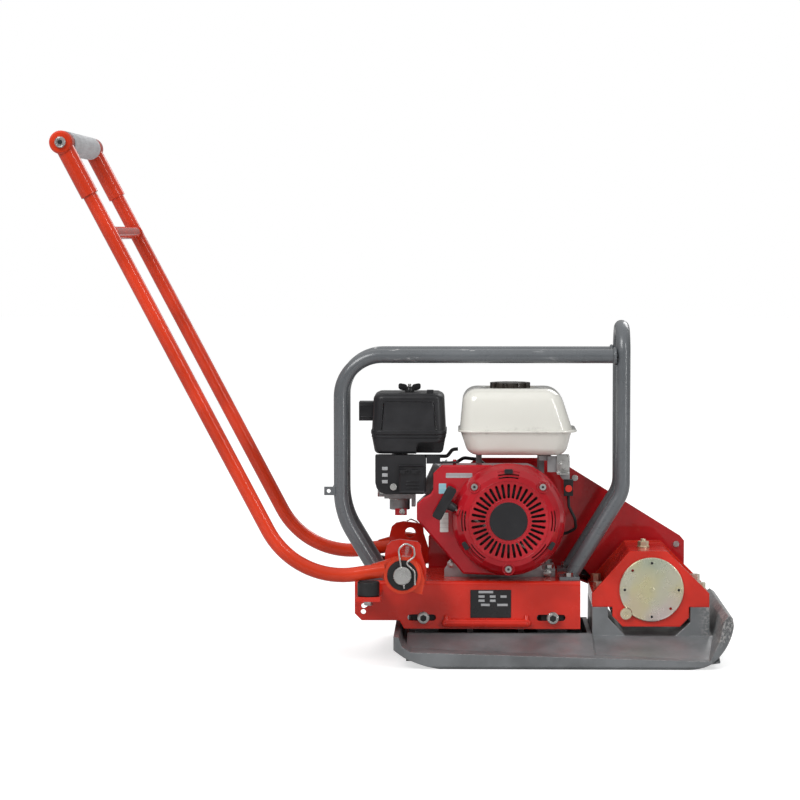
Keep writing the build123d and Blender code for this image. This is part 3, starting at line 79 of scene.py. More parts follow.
# ---- shader helpers ----
class Recipe:
    """A new material with short calls that add and link its nodes."""

    def __init__(self, name, **sockets):
        self.material = bpy.data.materials.new("finish_" + name)
        self.material.use_nodes = True
        self.tree = self.material.node_tree
        self.shader = self.tree.nodes["Principled BSDF"]
        self.place = self.add("ShaderNodeTexCoord").outputs["Object"]
        for socket, value in sockets.items():
            self.shader.inputs[socket.replace("_", " ")].default_value = value

    def add(self, kind, **settings):
        """Node of that kind with its settings."""
        node = self.tree.nodes.new(kind)
        for key, value in settings.items():
            setattr(node, key, value)
        return node

    def plug(self, socket, value):
        """Links an output to a socket, or sets the socket's own value."""
        if isinstance(value, bpy.types.NodeSocket):
            self.tree.links.new(value, socket)
        else:
            socket.default_value = value

    def noise(self, scale, detail=4.0, roughness=0.55, stretch=None, place=None):
        """Noise over the piece; stretch gives a scale for each axis."""
        node = self.add("ShaderNodeTexNoise")
        node.inputs["Scale"].default_value = scale
        node.inputs["Detail"].default_value = detail
        node.inputs["Roughness"].default_value = roughness
        where = place or self.place
        if stretch:
            mapping = self.add("ShaderNodeMapping")
            self.plug(mapping.inputs["Vector"], where)
            mapping.inputs["Scale"].default_value = stretch
            where = mapping.outputs["Vector"]
        self.plug(node.inputs["Vector"], where)
        return node.outputs["Fac"]

    def cells(self, scale, feature="F1"):
        """Distance to the nearest of many scattered points."""
        node = self.add("ShaderNodeTexVoronoi", feature=feature)
        node.inputs["Scale"].default_value = scale
        self.plug(node.inputs["Vector"], self.place)
        return node.outputs["Distance"]

    def span(self, value, low, high, out_low=0.0, out_high=1.0):
        """Value carried from low..high to out_low..out_high and held there."""
        node = self.add("ShaderNodeMapRange", interpolation_type="SMOOTHSTEP")
        self.plug(node.inputs["Value"], value)
        node.inputs["From Min"].default_value = low
        node.inputs["From Max"].default_value = high
        node.inputs["To Min"].default_value = out_low
        node.inputs["To Max"].default_value = out_high
        return node.outputs["Result"]

    def math(self, operation, first, second=0.0):
        """Two values put together."""
        node = self.add("ShaderNodeMath", operation=operation)
        self.plug(node.inputs[0], first)
        self.plug(node.inputs[1], second)
        return node.outputs[0]

    def blend(self, factor, first, second):
        """Two colours mixed by factor."""
        node = self.add("ShaderNodeMix", data_type="RGBA")
        self.plug(node.inputs["Factor"], factor)
        colours = [socket for socket in node.inputs if socket.type == "RGBA"]
        for socket, value in zip(colours, (first, second)):
            self.plug(socket, value if isinstance(value, bpy.types.NodeSocket) else rgba(value))
        return [socket for socket in node.outputs if socket.type == "RGBA"][0]

    def axis(self, letter):
        """One coordinate of the place on the piece, in metres."""
        node = self.add("ShaderNodeSeparateXYZ")
        self.plug(node.inputs[0], self.place)
        return node.outputs[letter]

    def soft_edges(self, radius):
        """Normal rounded over sharp edges, and a mask that is 1 along them."""
        bevel = self.add("ShaderNodeBevel", samples=4)
        bevel.inputs["Radius"].default_value = radius
        flat = self.add("ShaderNodeNewGeometry").outputs["Normal"]
        turn = self.add("ShaderNodeVectorMath", operation="DOT_PRODUCT")
        self.plug(turn.inputs[0], bevel.outputs["Normal"])
        self.plug(turn.inputs[1], flat)
        return bevel.outputs["Normal"], self.span(turn.outputs["Value"], 0.93, 0.75)

    def bump(self, height, depth, normal=None):
        """Normal raised and sunk by height, depth metres from 0 to 1."""
        node = self.add("ShaderNodeBump")
        node.inputs["Strength"].default_value = 1.0
        node.inputs["Distance"].default_value = depth
        self.plug(node.inputs["Height"], height)
        if normal:
            self.plug(node.inputs["Normal"], normal)
        return node.outputs["Normal"]

    def wire(self, **outputs):
        """Links outputs to the shader's sockets and gives the finished material back."""
        for socket, value in outputs.items():
            self.plug(self.shader.inputs[socket.replace("_", " ")], value)
        return self.material


def rgba(colour):
    """Colour with its alpha."""
    return tuple(colour)[:3] + (1.0,)


# ---- finishes ----
def paint(name, colour, bare=(0.35, 0.34, 0.33), wear=0.5, rough=0.22, edge=0.0012):
    """Glossy stoved paint with slight orange peel, handling marks and wear along its edges."""
    r = Recipe(name, Coat_Weight=0.5, Coat_Roughness=0.05, Specular_IOR_Level=0.12)
    normal, rim = r.soft_edges(edge)
    cloud = r.noise(9, 3)
    dark = tuple(c * 0.80 for c in colour)
    light = tuple(min(1, c * 1.08 + 0.004) for c in colour)
    body = r.blend(r.span(cloud, 0.35, 0.65), dark, light)
    chipped = r.math("MULTIPLY", rim, r.span(r.noise(160, 5, 0.7), 0.62 - 0.08 * wear, 0.72 - 0.08 * wear))
    specks = r.span(r.cells(75), 0.045 * wear, 0.03 * wear)
    rare = r.math("MULTIPLY", specks, r.span(r.noise(14, 2), 0.62, 0.70))
    worn = r.math("MAXIMUM", chipped, rare)
    smear = r.span(r.noise(22, 6, 0.6), 0.3, 0.75, rough * 0.75, rough * 1.5)
    peel = r.bump(r.noise(420, 2), 0.00004, normal)
    return r.wire(Base_Color=r.blend(worn, body, bare), Roughness=smear, Normal=peel)


def cage_coat(name, colour):
    """Grey powder coat with long pale painted highlights streaked along the upper corners, dull rubs and small
    white chips.
    """
    r = Recipe(name, Coat_Weight=0.5, Coat_Roughness=0.08)
    normal = r.soft_edges(0.001)[0]
    body = r.blend(r.span(r.noise(8, 3), 0.35, 0.65), tuple(c * 0.85 for c in colour), colour)
    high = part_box("cage_rails")[1]
    # Painted highlight: pale streaks kept to the top 30 mm of the rails, where the light falls.
    top = r.span(r.axis("Z"), high.z - 0.030, high.z - 0.006)
    streaks = r.span(r.noise(60, 6, 0.7, stretch=(0.35, 1.0, 2.0)), 0.60, 0.70)
    patch = r.span(r.noise(7, 2), 0.52, 0.60)
    painted_highlight = r.math("MULTIPLY", r.math("MULTIPLY", streaks, patch), top)
    chips = r.math("MULTIPLY", r.span(r.cells(60), 0.06, 0.04), r.span(r.noise(12, 2), 0.60, 0.68))
    pale = r.blend(r.math("MAXIMUM", painted_highlight, chips), body, (0.62, 0.62, 0.62))
    smear = r.span(r.noise(26, 5), 0.3, 0.75, 0.20, 0.42)
    return r.wire(Base_Color=pale, Roughness=smear, Normal=r.bump(r.noise(500, 2), 0.00005, normal))


def plate_casting(name, colour):
    """Dark paint over a rough casting, rubbed bright at the lips and speckled inside the nose."""
    r = Recipe(name, Coat_Weight=0.25, Coat_Roughness=0.25)
    normal, rim = r.soft_edges(0.0025)
    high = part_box("base_plate")[1]
    body = r.blend(r.span(r.noise(12, 4), 0.3, 0.7), tuple(c * 0.75 for c in colour),
                   tuple(c * 1.3 for c in colour))
    nose = r.math("MULTIPLY", r.span(r.axis("X"), high.x - 0.060, high.x - 0.030),
                  r.span(r.axis("Z"), 0.030, 0.055))
    speckle = r.span(r.noise(190, 4, 0.7), 0.46, 0.62)
    bright = r.math("MULTIPLY", nose, speckle)
    scrape = r.math("MULTIPLY", rim, r.span(r.noise(75, 5, 0.7), 0.42, 0.58))
    chips = r.math("MULTIPLY", r.span(r.cells(48), 0.07, 0.04), r.span(r.noise(9, 2), 0.58, 0.66))
    bare = r.math("MAXIMUM", r.math("MAXIMUM", bright, scrape), chips)
    shade = r.blend(bare, body, (0.46, 0.45, 0.44))
    smear = r.span(r.noise(30, 5), 0.3, 0.7, 0.34, 0.55)
    grain = r.math("ADD", r.noise(240, 3, 0.5), r.math("MULTIPLY", bright, 2.5))
    return r.wire(Base_Color=shade, Roughness=smear, Metallic=r.math("MULTIPLY", bare, 0.7),
                  Normal=r.bump(grain, 0.00018, normal))


def yellow_zinc(name, colour):
    """Yellow-passivated zinc: an oily shimmer between gold, green and pink over brushed steel."""
    r = Recipe(name, Metallic=0.9)
    normal = r.soft_edges(0.0006)[0]
    drift = r.noise(7, 2, 0.5)
    green = r.blend(r.span(drift, 0.36, 0.52), (0.56, 0.60, 0.47), colour)
    pink = r.blend(r.span(drift, 0.52, 0.68), green, (0.70, 0.60, 0.58))
    band = r.math("MULTIPLY", r.span(r.noise(13, 2, 0.5), 0.45, 0.62), 0.45)
    tint = r.blend(band, pink, (0.74, 0.66, 0.28))
    smear = r.span(r.noise(60, 5), 0.3, 0.7, 0.24, 0.42)
    return r.wire(Base_Color=tint, Roughness=smear, Normal=r.bump(r.noise(700, 3), 0.00005, normal))


def plated_steel(name, colour, rough=0.28):
    """Bright plated or turned steel with fine lines and dull spots."""
    r = Recipe(name, Metallic=1.0)
    normal = r.soft_edges(0.0005)[0]
    tone = r.blend(r.span(r.noise(40, 4), 0.35, 0.65), tuple(c * 0.78 for c in colour), colour)
    smear = r.span(r.noise(90, 5, 0.6), 0.3, 0.7, rough * 0.7, rough * 1.5)
    lines = r.noise(300, 3, 0.5, stretch=(0.4, 4.0, 0.4))
    return r.wire(Base_Color=tone, Roughness=smear, Normal=r.bump(lines, 0.00004, normal))


def casting(name, colour, metallic=0.75, rough=0.45, grain=0.00025):
    """Die-cast metal with a fine sandy skin, darker patches at random and paler rubbed edges."""
    r = Recipe(name, Metallic=metallic)
    normal, rim = r.soft_edges(0.001)
    tone = r.blend(r.span(r.noise(22, 5), 0.35, 0.65), tuple(c * 0.65 for c in colour), colour)
    rubbed = r.blend(r.math("MULTIPLY", rim, 0.5), tone, tuple(min(1, c * 1.4) for c in colour))
    smear = r.span(r.noise(120, 4), 0.3, 0.7, rough * 0.8, rough * 1.3)
    return r.wire(Base_Color=rubbed, Roughness=smear, Normal=r.bump(r.noise(900, 4), grain, normal))


def moulded(name, colour, rough=0.42, grain=0.00004, edge=0.0012, shine=0.15):
    """Moulded plastic or rubber with a fine spark-eroded grain and a paler bloom on its edges."""
    r = Recipe(name, Coat_Weight=shine, Coat_Roughness=0.12, Specular_IOR_Level=0.28)
    normal, rim = r.soft_edges(edge)
    dusty = tuple(c * 1.5 + 0.008 for c in colour)
    tone = r.blend(r.math("MULTIPLY", r.span(r.noise(18, 5), 0.45, 0.75), 0.5), colour, dusty)
    edges = r.blend(r.math("MULTIPLY", rim, 0.30), tone, tuple(c * 1.5 + 0.03 for c in colour))
    smear = r.span(r.noise(45, 5), 0.3, 0.7, rough * 0.8, rough * 1.25)
    return r.wire(Base_Color=edges, Roughness=smear, Normal=r.bump(r.noise(1300, 3), grain, normal))


def foam_grip(name, colour):
    """Closed-cell grip sleeve, crazed and slightly dirty."""
    r = Recipe(name, Sheen_Weight=0.3, Sheen_Roughness=0.5)
    normal = r.soft_edges(0.002)[0]
    craze = r.cells(260, "DISTANCE_TO_EDGE")
    tone = r.blend(r.span(r.noise(28, 5), 0.35, 0.7), tuple(c * 0.72 for c in colour), colour)
    lines = r.blend(r.span(craze, 0.10, 0.02, 0.0, 0.5), tone, tuple(c * 0.45 for c in colour))
    skin = r.math("ADD", r.span(craze, 0.0, 0.25), r.math("MULTIPLY", r.noise(500, 4), 0.5))
    return r.wire(Base_Color=lines, Roughness=r.span(r.noise(60, 3), 0.3, 0.7, 0.62, 0.80),
                  Normal=r.bump(skin, 0.0003, normal))


def tank_enamel(name, colour):
    """Thick off-white enamel, faintly yellowed, with small dirt near the seam."""
    r = Recipe(name, Coat_Weight=0.8, Coat_Roughness=0.04)
    normal = r.soft_edges(0.0015)[0]
    tone = r.blend(r.span(r.noise(7, 3), 0.35, 0.65), tuple(c * 0.96 for c in colour), colour)
    low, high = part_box("fuel_tank")
    seam = low.z + (high.z - low.z) * 0.37
    near_seam = r.span(r.math("ABSOLUTE", r.math("SUBTRACT", r.axis("Z"), seam)), 0.012, 0.002)
    dirt = r.math("MULTIPLY", near_seam, r.span(r.noise(70, 5, 0.7), 0.5, 0.75, 0.0, 0.55))
    shade = r.blend(dirt, tone, (0.42, 0.40, 0.36))
    return r.wire(Base_Color=shade, Roughness=r.span(r.noise(18, 4), 0.3, 0.7, 0.16, 0.28),
                  Normal=r.bump(r.noise(240, 2), 0.00004, normal))


def woven_cord(name, colour):
    """Braided starter rope, with painted shade in the grooves between its strands."""
    r = Recipe(name, Sheen_Weight=0.4)
    weave = r.add("ShaderNodeTexWave", wave_type="BANDS", bands_direction="DIAGONAL")
    weave.inputs["Scale"].default_value = 320
    r.plug(weave.inputs["Vector"], r.place)
    strands = weave.outputs["Fac"]
    # Painted shade: the cord darkens to 0.55 of its colour in the grooves between strands.
    tone = r.blend(strands, tuple(c * 0.55 for c in colour), colour)
    return r.wire(Base_Color=tone, Roughness=r.span(strands, 0, 1, 0.8, 0.65), Normal=r.bump(strands, 0.0003))


def pleated_paper(name, colour):
    """Filter paper with close pleats round the element, with painted shade in each pleat's valley."""
    r = Recipe(name)
    spokes = r.add("ShaderNodeTexGradient", gradient_type="RADIAL")
    mapping = r.add("ShaderNodeMapping")
    low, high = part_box("air_filter_element")
    mapping.inputs["Location"].default_value = (-(low.x + high.x) / 2, -(low.y + high.y) / 2, 0)
    r.plug(mapping.inputs["Vector"], r.place)
    r.plug(spokes.inputs["Vector"], mapping.outputs["Vector"])
    turn = r.math("MULTIPLY", spokes.outputs["Fac"], 60 * 2 * math.pi)
    pleat = r.span(r.math("SINE", turn), -1, 1)
    # Painted shade: the paper darkens to half its colour down in each pleat's valley.
    tone = r.blend(pleat, tuple(c * 0.5 for c in colour), colour)
    return r.wire(Base_Color=tone, Roughness=r.span(r.noise(200), 0.3, 0.7, 0.8, 0.95),
                  Normal=r.bump(pleat, 0.001))


def blank_label(name, colour, band):
    """Glossy sticker with faint plain bands and rubbed edges."""
    r = Recipe(name, Coat_Weight=0.4)
    rows = r.math("FRACT", r.math("MULTIPLY", r.axis("Z"), 130.0))
    mask = r.math("MULTIPLY", r.math("GREATER_THAN", rows, 0.70), 0.35)
    worn = r.math("MULTIPLY", r.span(r.noise(220, 5, 0.7), 0.45, 0.7), 0.3)
    tone = r.blend(r.math("MAXIMUM", mask, worn), colour, band)
    return r.wire(Base_Color=tone, Roughness=r.span(r.noise(60), 0.3, 0.7, 0.25, 0.45),
                  Normal=r.bump(r.noise(400, 2), 0.00003))


FINISHES = {
    "handle_red": lambda: paint("handle_red", palette().handle, wear=0.25),
    "frame_red": lambda: paint("frame_red", palette().frame, wear=0.7),
    "exciter_red": lambda: paint("exciter_red", palette().frame, wear=0.4, edge=0.003),
    "guard_red": lambda: paint("guard_red", palette().guard, wear=0.4),
    "cowl_red": lambda: paint("cowl_red", palette().cowl, wear=0.15, rough=0.16),
    "cage_grey": lambda: cage_coat("cage_grey", palette().cage),
    "plate_iron": lambda: plate_casting("plate_iron", palette().plate),
    "yellow_zinc": lambda: yellow_zinc("yellow_zinc", (0.66, 0.64, 0.50)),
    "bright_steel": lambda: plated_steel("bright_steel", (0.56, 0.555, 0.54)),
    "pulley_iron": lambda: casting("pulley_iron", (0.24, 0.24, 0.25), 0.8, 0.40, 0.0001),
    "engine_alloy": lambda: casting("engine_alloy", (0.38, 0.38, 0.385)),
    "black_rubber": lambda: moulded("black_rubber", (0.014, 0.014, 0.015), 0.62, 0.0002),
    "grip_foam": lambda: foam_grip("grip_foam", (0.50, 0.51, 0.53)),
    "black_plastic": lambda: moulded("black_plastic", (0.016, 0.016, 0.018), 0.38),
    "stop_red": lambda: moulded("stop_red", (0.55, 0.03, 0.02), 0.3),
    "tank_white": lambda: tank_enamel("tank_white", palette().tank),
    "plate_black": lambda: moulded("plate_black", (0.012, 0.012, 0.013), 0.3, 0.00001, 0.0006, 0.3),
    "filter_paper": lambda: pleated_paper("filter_paper", (0.70, 0.62, 0.42)),
    "rope_white": lambda: woven_cord("rope_white", (0.72, 0.71, 0.66)),
    "cap_bronze": lambda: moulded("cap_bronze", (0.040, 0.033, 0.028), 0.30, 0.0001, 0.0008, 0.3),
    "pale_print": lambda: moulded("pale_print", (0.36, 0.37, 0.38), 0.5),
    "label_silver": lambda: blank_label("label_silver", (0.42, 0.42, 0.43), (0.12, 0.12, 0.13)),
    "label_blue": lambda: blank_label("label_blue", (0.28, 0.56, 0.66), (0.50, 0.68, 0.74)),
    "label_white": lambda: blank_label("label_white", (0.78, 0.77, 0.74), (0.45, 0.44, 0.43)),
}


def finish(name):
    """Material of that finish, made once."""
    return bpy.data.materials.get("finish_" + name) or FINISHES[name]()


def palette():
    """The user's paint colours."""
    return bpy.context.scene.compactor_paints


def layout():
    """The user's sizes of the fine pieces."""
    return bpy.context.scene.compactor_sizes


# ---- modelling helpers ----
def clear_selection():
    """Object mode with nothing selected."""
    if bpy.context.mode != "OBJECT":
        bpy.ops.object.mode_set(mode="OBJECT")
    bpy.ops.object.select_all(action="DESELECT")


def choose(piece):
    """Object mode with only this piece selected and active."""
    clear_selection()
    piece.select_set(True)
    bpy.context.view_layer.objects.active = piece


def facing(place, axis):
    """Matrix that carries a piece to a place, with its own Z along the axis."""
    return Matrix.Translation(place) @ Vector(axis).to_track_quat("Z", "Y").to_matrix().to_4x4()


def on_circle(axis, radius, degrees):
    """The x and z at that angle on a circle round an axis across the machine."""
    angle = math.radians(degrees)
    return axis[0] + radius * math.cos(angle), axis[1] + radius * math.sin(angle)


def named(name):
    """The primitive that was just added, named."""
    piece = bpy.context.active_object
    piece.name = name
    piece.data.name = name
    return piece


def block(name, low, high):
    """Cuboid between two corners, with its place in its mesh."""
    clear_selection()
    low, high = Vector(low), Vector(high)
    bpy.ops.mesh.primitive_cube_add(size=1, location=(low + high) / 2)
    piece = named(name)
    piece.scale = high - low
    settle(piece)
    return piece


def round_bar(name, start, end, radius, sides=32):
    """Cylinder from start to end, with its place in its mesh."""
    clear_selection()
    start, end = Vector(start), Vector(end)
    run = end - start
    bpy.ops.mesh.primitive_cylinder_add(vertices=sides, radius=radius, depth=run.length)
    piece = named(name)
    piece.matrix_world = facing((start + end) / 2, run)
    settle(piece)
    return piece


def hoop(name, centre, axis, radius, thickness, steps=64, sides=12):
    """Torus about an axis through centre, with its place in its mesh."""
    clear_selection()
    bpy.ops.mesh.primitive_torus_add(major_radius=radius, minor_radius=thickness,
                                     major_segments=steps, minor_segments=sides)
    piece = named(name)
    piece.matrix_world = facing(centre, axis)
    settle(piece)
    return piece


def settle(piece):
    """Turns the piece's place into mesh coordinates."""
    bpy.context.view_layer.update()
    piece.select_set(True)
    bpy.context.view_layer.objects.active = piece
    bpy.ops.object.transform_apply(location=True, rotation=True, scale=True)


def pick(piece, test, kind="FACE"):
    """Edit mode with only the faces, edges or vertices that pass the test on their place and direction."""
    choose(piece)
    bpy.ops.object.mode_set(mode="EDIT")
    bpy.ops.mesh.select_mode(type=kind)
    bpy.ops.mesh.select_all(action="DESELECT")
    bpy.ops.object.mode_set(mode="OBJECT")
    mesh = piece.data
    if kind == "FACE":
        for face in mesh.polygons:
            face.select = test(face.center, face.normal)
    elif kind == "EDGE":
        for edge in mesh.edges:
            ends = [mesh.vertices[i].co for i in edge.vertices]
            edge.select = test((ends[0] + ends[1]) / 2, (ends[1] - ends[0]).normalized())
    else:
        for vertex in mesh.vertices:
            vertex.select = test(vertex.co, vertex.normal)
    bpy.ops.object.mode_set(mode="EDIT")


def bevelled(piece, test, width, segments):
    """Bevels the edges that pass the test on their middle and direction."""
    pick(piece, test, "EDGE")
    bpy.ops.mesh.bevel(offset=width, segments=segments, affect="EDGES")
    bpy.ops.object.mode_set(mode="OBJECT")


def inset(piece, test, margin, shift):
    """Insets the faces that pass the test on their middle and normal, and moves them by shift."""
    pick(piece, test)
    bpy.ops.mesh.inset(thickness=margin)
    bpy.ops.transform.translate(value=shift)
    bpy.ops.object.mode_set(mode="OBJECT")


def round_edges(piece, width, segments=3, angle=30):
    """Bevels every sharp edge of the piece."""
    choose(piece)
    bevel = piece.modifiers.new("edges", "BEVEL")
    bevel.width = width
    bevel.segments = segments
    bevel.limit_method = "ANGLE"
    bevel.angle_limit = math.radians(angle)
    bpy.ops.object.modifier_apply(modifier=bevel.name)


def cut(piece, tool, operation="DIFFERENCE"):
    """Cuts the tool out of the piece, or adds it on, and removes the tool."""
    choose(piece)
    knife = piece.modifiers.new("cut", "BOOLEAN")
    knife.operation = operation
    knife.object = tool
    knife.solver = "EXACT"
    bpy.ops.object.modifier_apply(modifier=knife.name)
    bpy.data.objects.remove(tool)


def joined(name, pieces):
    """One piece out of several."""
    clear_selection()
    for piece in pieces:
        piece.select_set(True)
    bpy.context.view_layer.objects.active = pieces[0]
    bpy.ops.object.join()
    pieces[0].name = name
    pieces[0].data.name = name
    return pieces[0]


def placed(piece, body, slot, material=None, smooth=35):
    """Gives a finished piece its shading, finish and body."""
    choose(piece)
    if smooth:
        bpy.ops.object.shade_smooth_by_angle(angle=math.radians(smooth))
    piece.data.materials.clear()
    piece.data.materials.append(finish(material or slot))
    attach(piece, body)
    return piece


def weld_ring(name, centre, axis, radius, bead):
    """Ring of weld round a joint, with the ripples of its stacked puddles."""
    steps = max(24, 4 * int(radius * 2 * math.pi / (bead * 1.1) / 2))
    piece = hoop(name, centre, axis, radius, bead, steps, 10)
    turn = Vector(axis).to_track_quat("Z", "Y").to_matrix().transposed()

    def in_puddle(place, normal):
        """Every other pair of rings about the axis."""
        flat = turn @ (place - Vector(centre))
        angle = math.atan2(flat.y, flat.x) % (2 * math.pi)
        return round(angle / (2 * math.pi) * steps) % 4 in (0, 1)

    pick(piece, in_puddle, "VERT")
    bpy.ops.transform.shrink_fatten(value=bead * 0.22)
    bpy.ops.object.mode_set(mode="OBJECT")
    return piece


def weld_line(name, start, end, bead):
    """Straight run of weld with its stacked puddles."""
    start, end = Vector(start), Vector(end)
    run = end - start
    piece = round_bar(name, start, end, bead, 10)
    cuts = max(6, int(run.length / (bead * 0.55)))
    along = run.normalized()
    pick(piece, lambda place, way: abs(way.dot(along)) > 0.9, "EDGE")
    bpy.ops.mesh.subdivide(number_cuts=cuts)
    bpy.ops.object.mode_set(mode="OBJECT")

    def in_puddle(place, normal):
        """Every other ring along the run."""
        return round((place - start).dot(along) / run.length * (cuts + 1)) % 2 == 0

    pick(piece, in_puddle, "VERT")
    bpy.ops.transform.shrink_fatten(value=bead * 0.20)
    bpy.ops.object.mode_set(mode="OBJECT")
    return piece


# ---- properties ----
def colour_property(name, description, default):
    """Colour that a user may change."""
    return bpy.props.FloatVectorProperty(name=name, description=description, default=default, size=3,
                                         min=0.0, max=1.0, subtype="COLOR")


def length_property(name, description, default, low=0.0001, high=20.0):
    """Length that a user may change."""
    return bpy.props.FloatProperty(name=name, description=description, default=default, min=low, max=high,
                                   unit="LENGTH", subtype="DISTANCE")


class CompactorPaints(bpy.types.PropertyGroup):
    """Paint colours of the machine."""

    handle: colour_property("Handle", "Orange-red of the push handle", (0.66, 0.042, 0.010))
    frame: colour_property("Frame", "Red of the deck, bracket and exciter", (0.60, 0.022, 0.010))
    guard: colour_property("Guard", "Red of the belt guard", (0.50, 0.010, 0.014))
    cowl: colour_property("Cowl", "Red of the engine's shroud and starter", (0.42, 0.007, 0.015))
    cage: colour_property("Cage", "Grey of the guard cage", (0.115, 0.125, 0.135))
    plate: colour_property("Plate", "Grey of the cast base plate", (0.135, 0.142, 0.148))
    tank: colour_property("Tank", "Off-white of the fuel tank", (0.76, 0.75, 0.69))


class CompactorSizes(bpy.types.PropertyGroup):
    """Sizes of the stage and of the fine pieces."""

    view_distance: length_property("View distance", "Camera's distance to the middle of the machine", 5.08)
    view_height: length_property("View height", "Camera's height above the ground", 0.746)
    view_side: length_property("View side", "Camera's place along the machine", -0.170, low=-5.0)
    floor_size: length_property("Floor size", "Width of the floor", 40.0, high=200.0)
    edge: length_property("Edge", "Rounding of moulded and pressed edges", 0.0012)


# ---- stage ----
class COMPACTOR_OT_stage(bpy.types.Operator):
    """Adds the floor, soft lights, sky and camera"""

    bl_idname = "compactor.stage"
    bl_label = "Stage"

    def execute(self, context):
        sizes = layout()
        clear_selection()
        bpy.ops.mesh.primitive_plane_add(size=sizes.floor_size)
        floor = named("floor")
        floor.data.materials.append(self.floor_finish())
        self.light("key", (-2.6, -3.4, 3.8), (2.4, 2.4), 150)
        self.light("strip", (2.6, -2.8, 1.6), (0.30, 3.2), 40)
        self.light("back", (1.8, 3.6, 3.2), (2.2, 2.2), 60)
        self.sky(context.scene)
        camera = bpy.data.objects.new("camera", bpy.data.cameras.new("camera"))
        context.scene.collection.objects.link(camera)
        camera.location = (sizes.view_side, -sizes.view_distance, sizes.view_height)
        camera.rotation_euler = (math.radians(VIEW_TILT), 0, math.radians(VIEW_TURN))
        camera.data.lens = VIEW_LENS
        camera.data.clip_end = 200
        context.scene.camera = camera
        context.scene.view_settings.view_transform = "Standard"
        return {"FINISHED"}

    def floor_finish(self):
        """Plain pale floor with a faint unevenness, lit up to white for the camera alone."""
        r = Recipe("floor_white")
        tone = r.blend(r.span(r.noise(1.5, 2), 0.3, 0.7), (0.54, 0.54, 0.54), (0.56, 0.56, 0.56))
        r.shader.inputs["Emission Color"].default_value = (1.0, 1.0, 1.0, 1.0)
        seen = r.add("ShaderNodeLightPath").outputs["Is Camera Ray"]
        return r.wire(Base_Color=tone, Emission_Strength=r.math("MULTIPLY", seen, 0.62),
                      Roughness=r.span(r.noise(3, 2), 0.3, 0.7, 0.6, 0.7))

    def light(self, name, place, size, power):
        """Soft box that faces the machine's middle."""
        lamp = bpy.data.lights.new(name, "AREA")
        lamp.shape = "RECTANGLE"
        lamp.size, lamp.size_y = size
        lamp.energy = power
        holder = bpy.data.objects.new(name, lamp)
        bpy.context.scene.collection.objects.link(holder)
        holder.location = place
        holder.rotation_euler = (Vector((-0.2, 0, 0.35)) - Vector(place)).to_track_quat("-Z", "Y").to_euler()

    def sky(self, scene):
        """White surround, brighter above than at the sides, and plain white behind the machine."""
        world = bpy.data.worlds.new("surround")
        scene.world = world
        world.use_nodes = True
        tree = world.node_tree
        where = tree.nodes.new("ShaderNodeTexCoord").outputs["Generated"]
        height = tree.nodes.new("ShaderNodeSeparateXYZ")
        tree.links.new(where, height.inputs[0])
        glow = tree.nodes.new("ShaderNodeMapRange")
        glow.inputs["From Min"].default_value = -0.1
        glow.inputs["From Max"].default_value = 0.9
        glow.inputs["To Min"].default_value = 0.10
        glow.inputs["To Max"].default_value = 0.85
        tree.links.new(height.outputs["Z"], glow.inputs["Value"])
        seen = tree.nodes.new("ShaderNodeLightPath").outputs["Is Camera Ray"]
        level = tree.nodes.new("ShaderNodeMix")
        tree.links.new(seen, level.inputs["Factor"])
        tree.links.new(glow.outputs["Result"], level.inputs["A"])
        level.inputs["B"].default_value = 1.0
        back = tree.nodes["Background"]
        back.inputs["Color"].default_value = (1.0, 1.0, 1.0, 1.0)
        tree.links.new(level.outputs["Result"], back.inputs["Strength"])


# ---- engine pieces ----
def edge_run(axis):
    """Test for edges that lie along one axis."""
    return lambda place, way: abs(way["XYZ".index(axis)]) > 0.95


def pressed_shell(name, low, high, draw_in, corner, shoulder, upward=True):
    """Deep-drawn half shell: upright rounded corners, leaning walls and a wide rounded shoulder."""
    piece = block(name, low, high)
    end = high[2] if upward else low[2]
    middle = Vector(((low[0] + high[0]) / 2, (low[1] + high[1]) / 2, end))
    rear, front, side = draw_in
    width, depth = high[0] - low[0], high[1] - low[1]
    pick(piece, lambda place, normal: abs(place.z - end) < 1e-5, "VERT")
    bpy.ops.transform.resize(value=((width - rear - front) / width, (depth - 2 * side) / depth, 1),
                             center_override=middle)
    bpy.ops.transform.translate(value=((rear - front) / 2, 0, 0))
    bpy.ops.object.mode_set(mode="OBJECT")
    bevelled(piece, lambda place, way: abs(way.z) > 0.6, corner, 8)
    bevelled(piece, lambda place, way: abs(place.z - end) < 1e-5 and abs(way.z) < 0.1, shoulder, 8)
    return piece


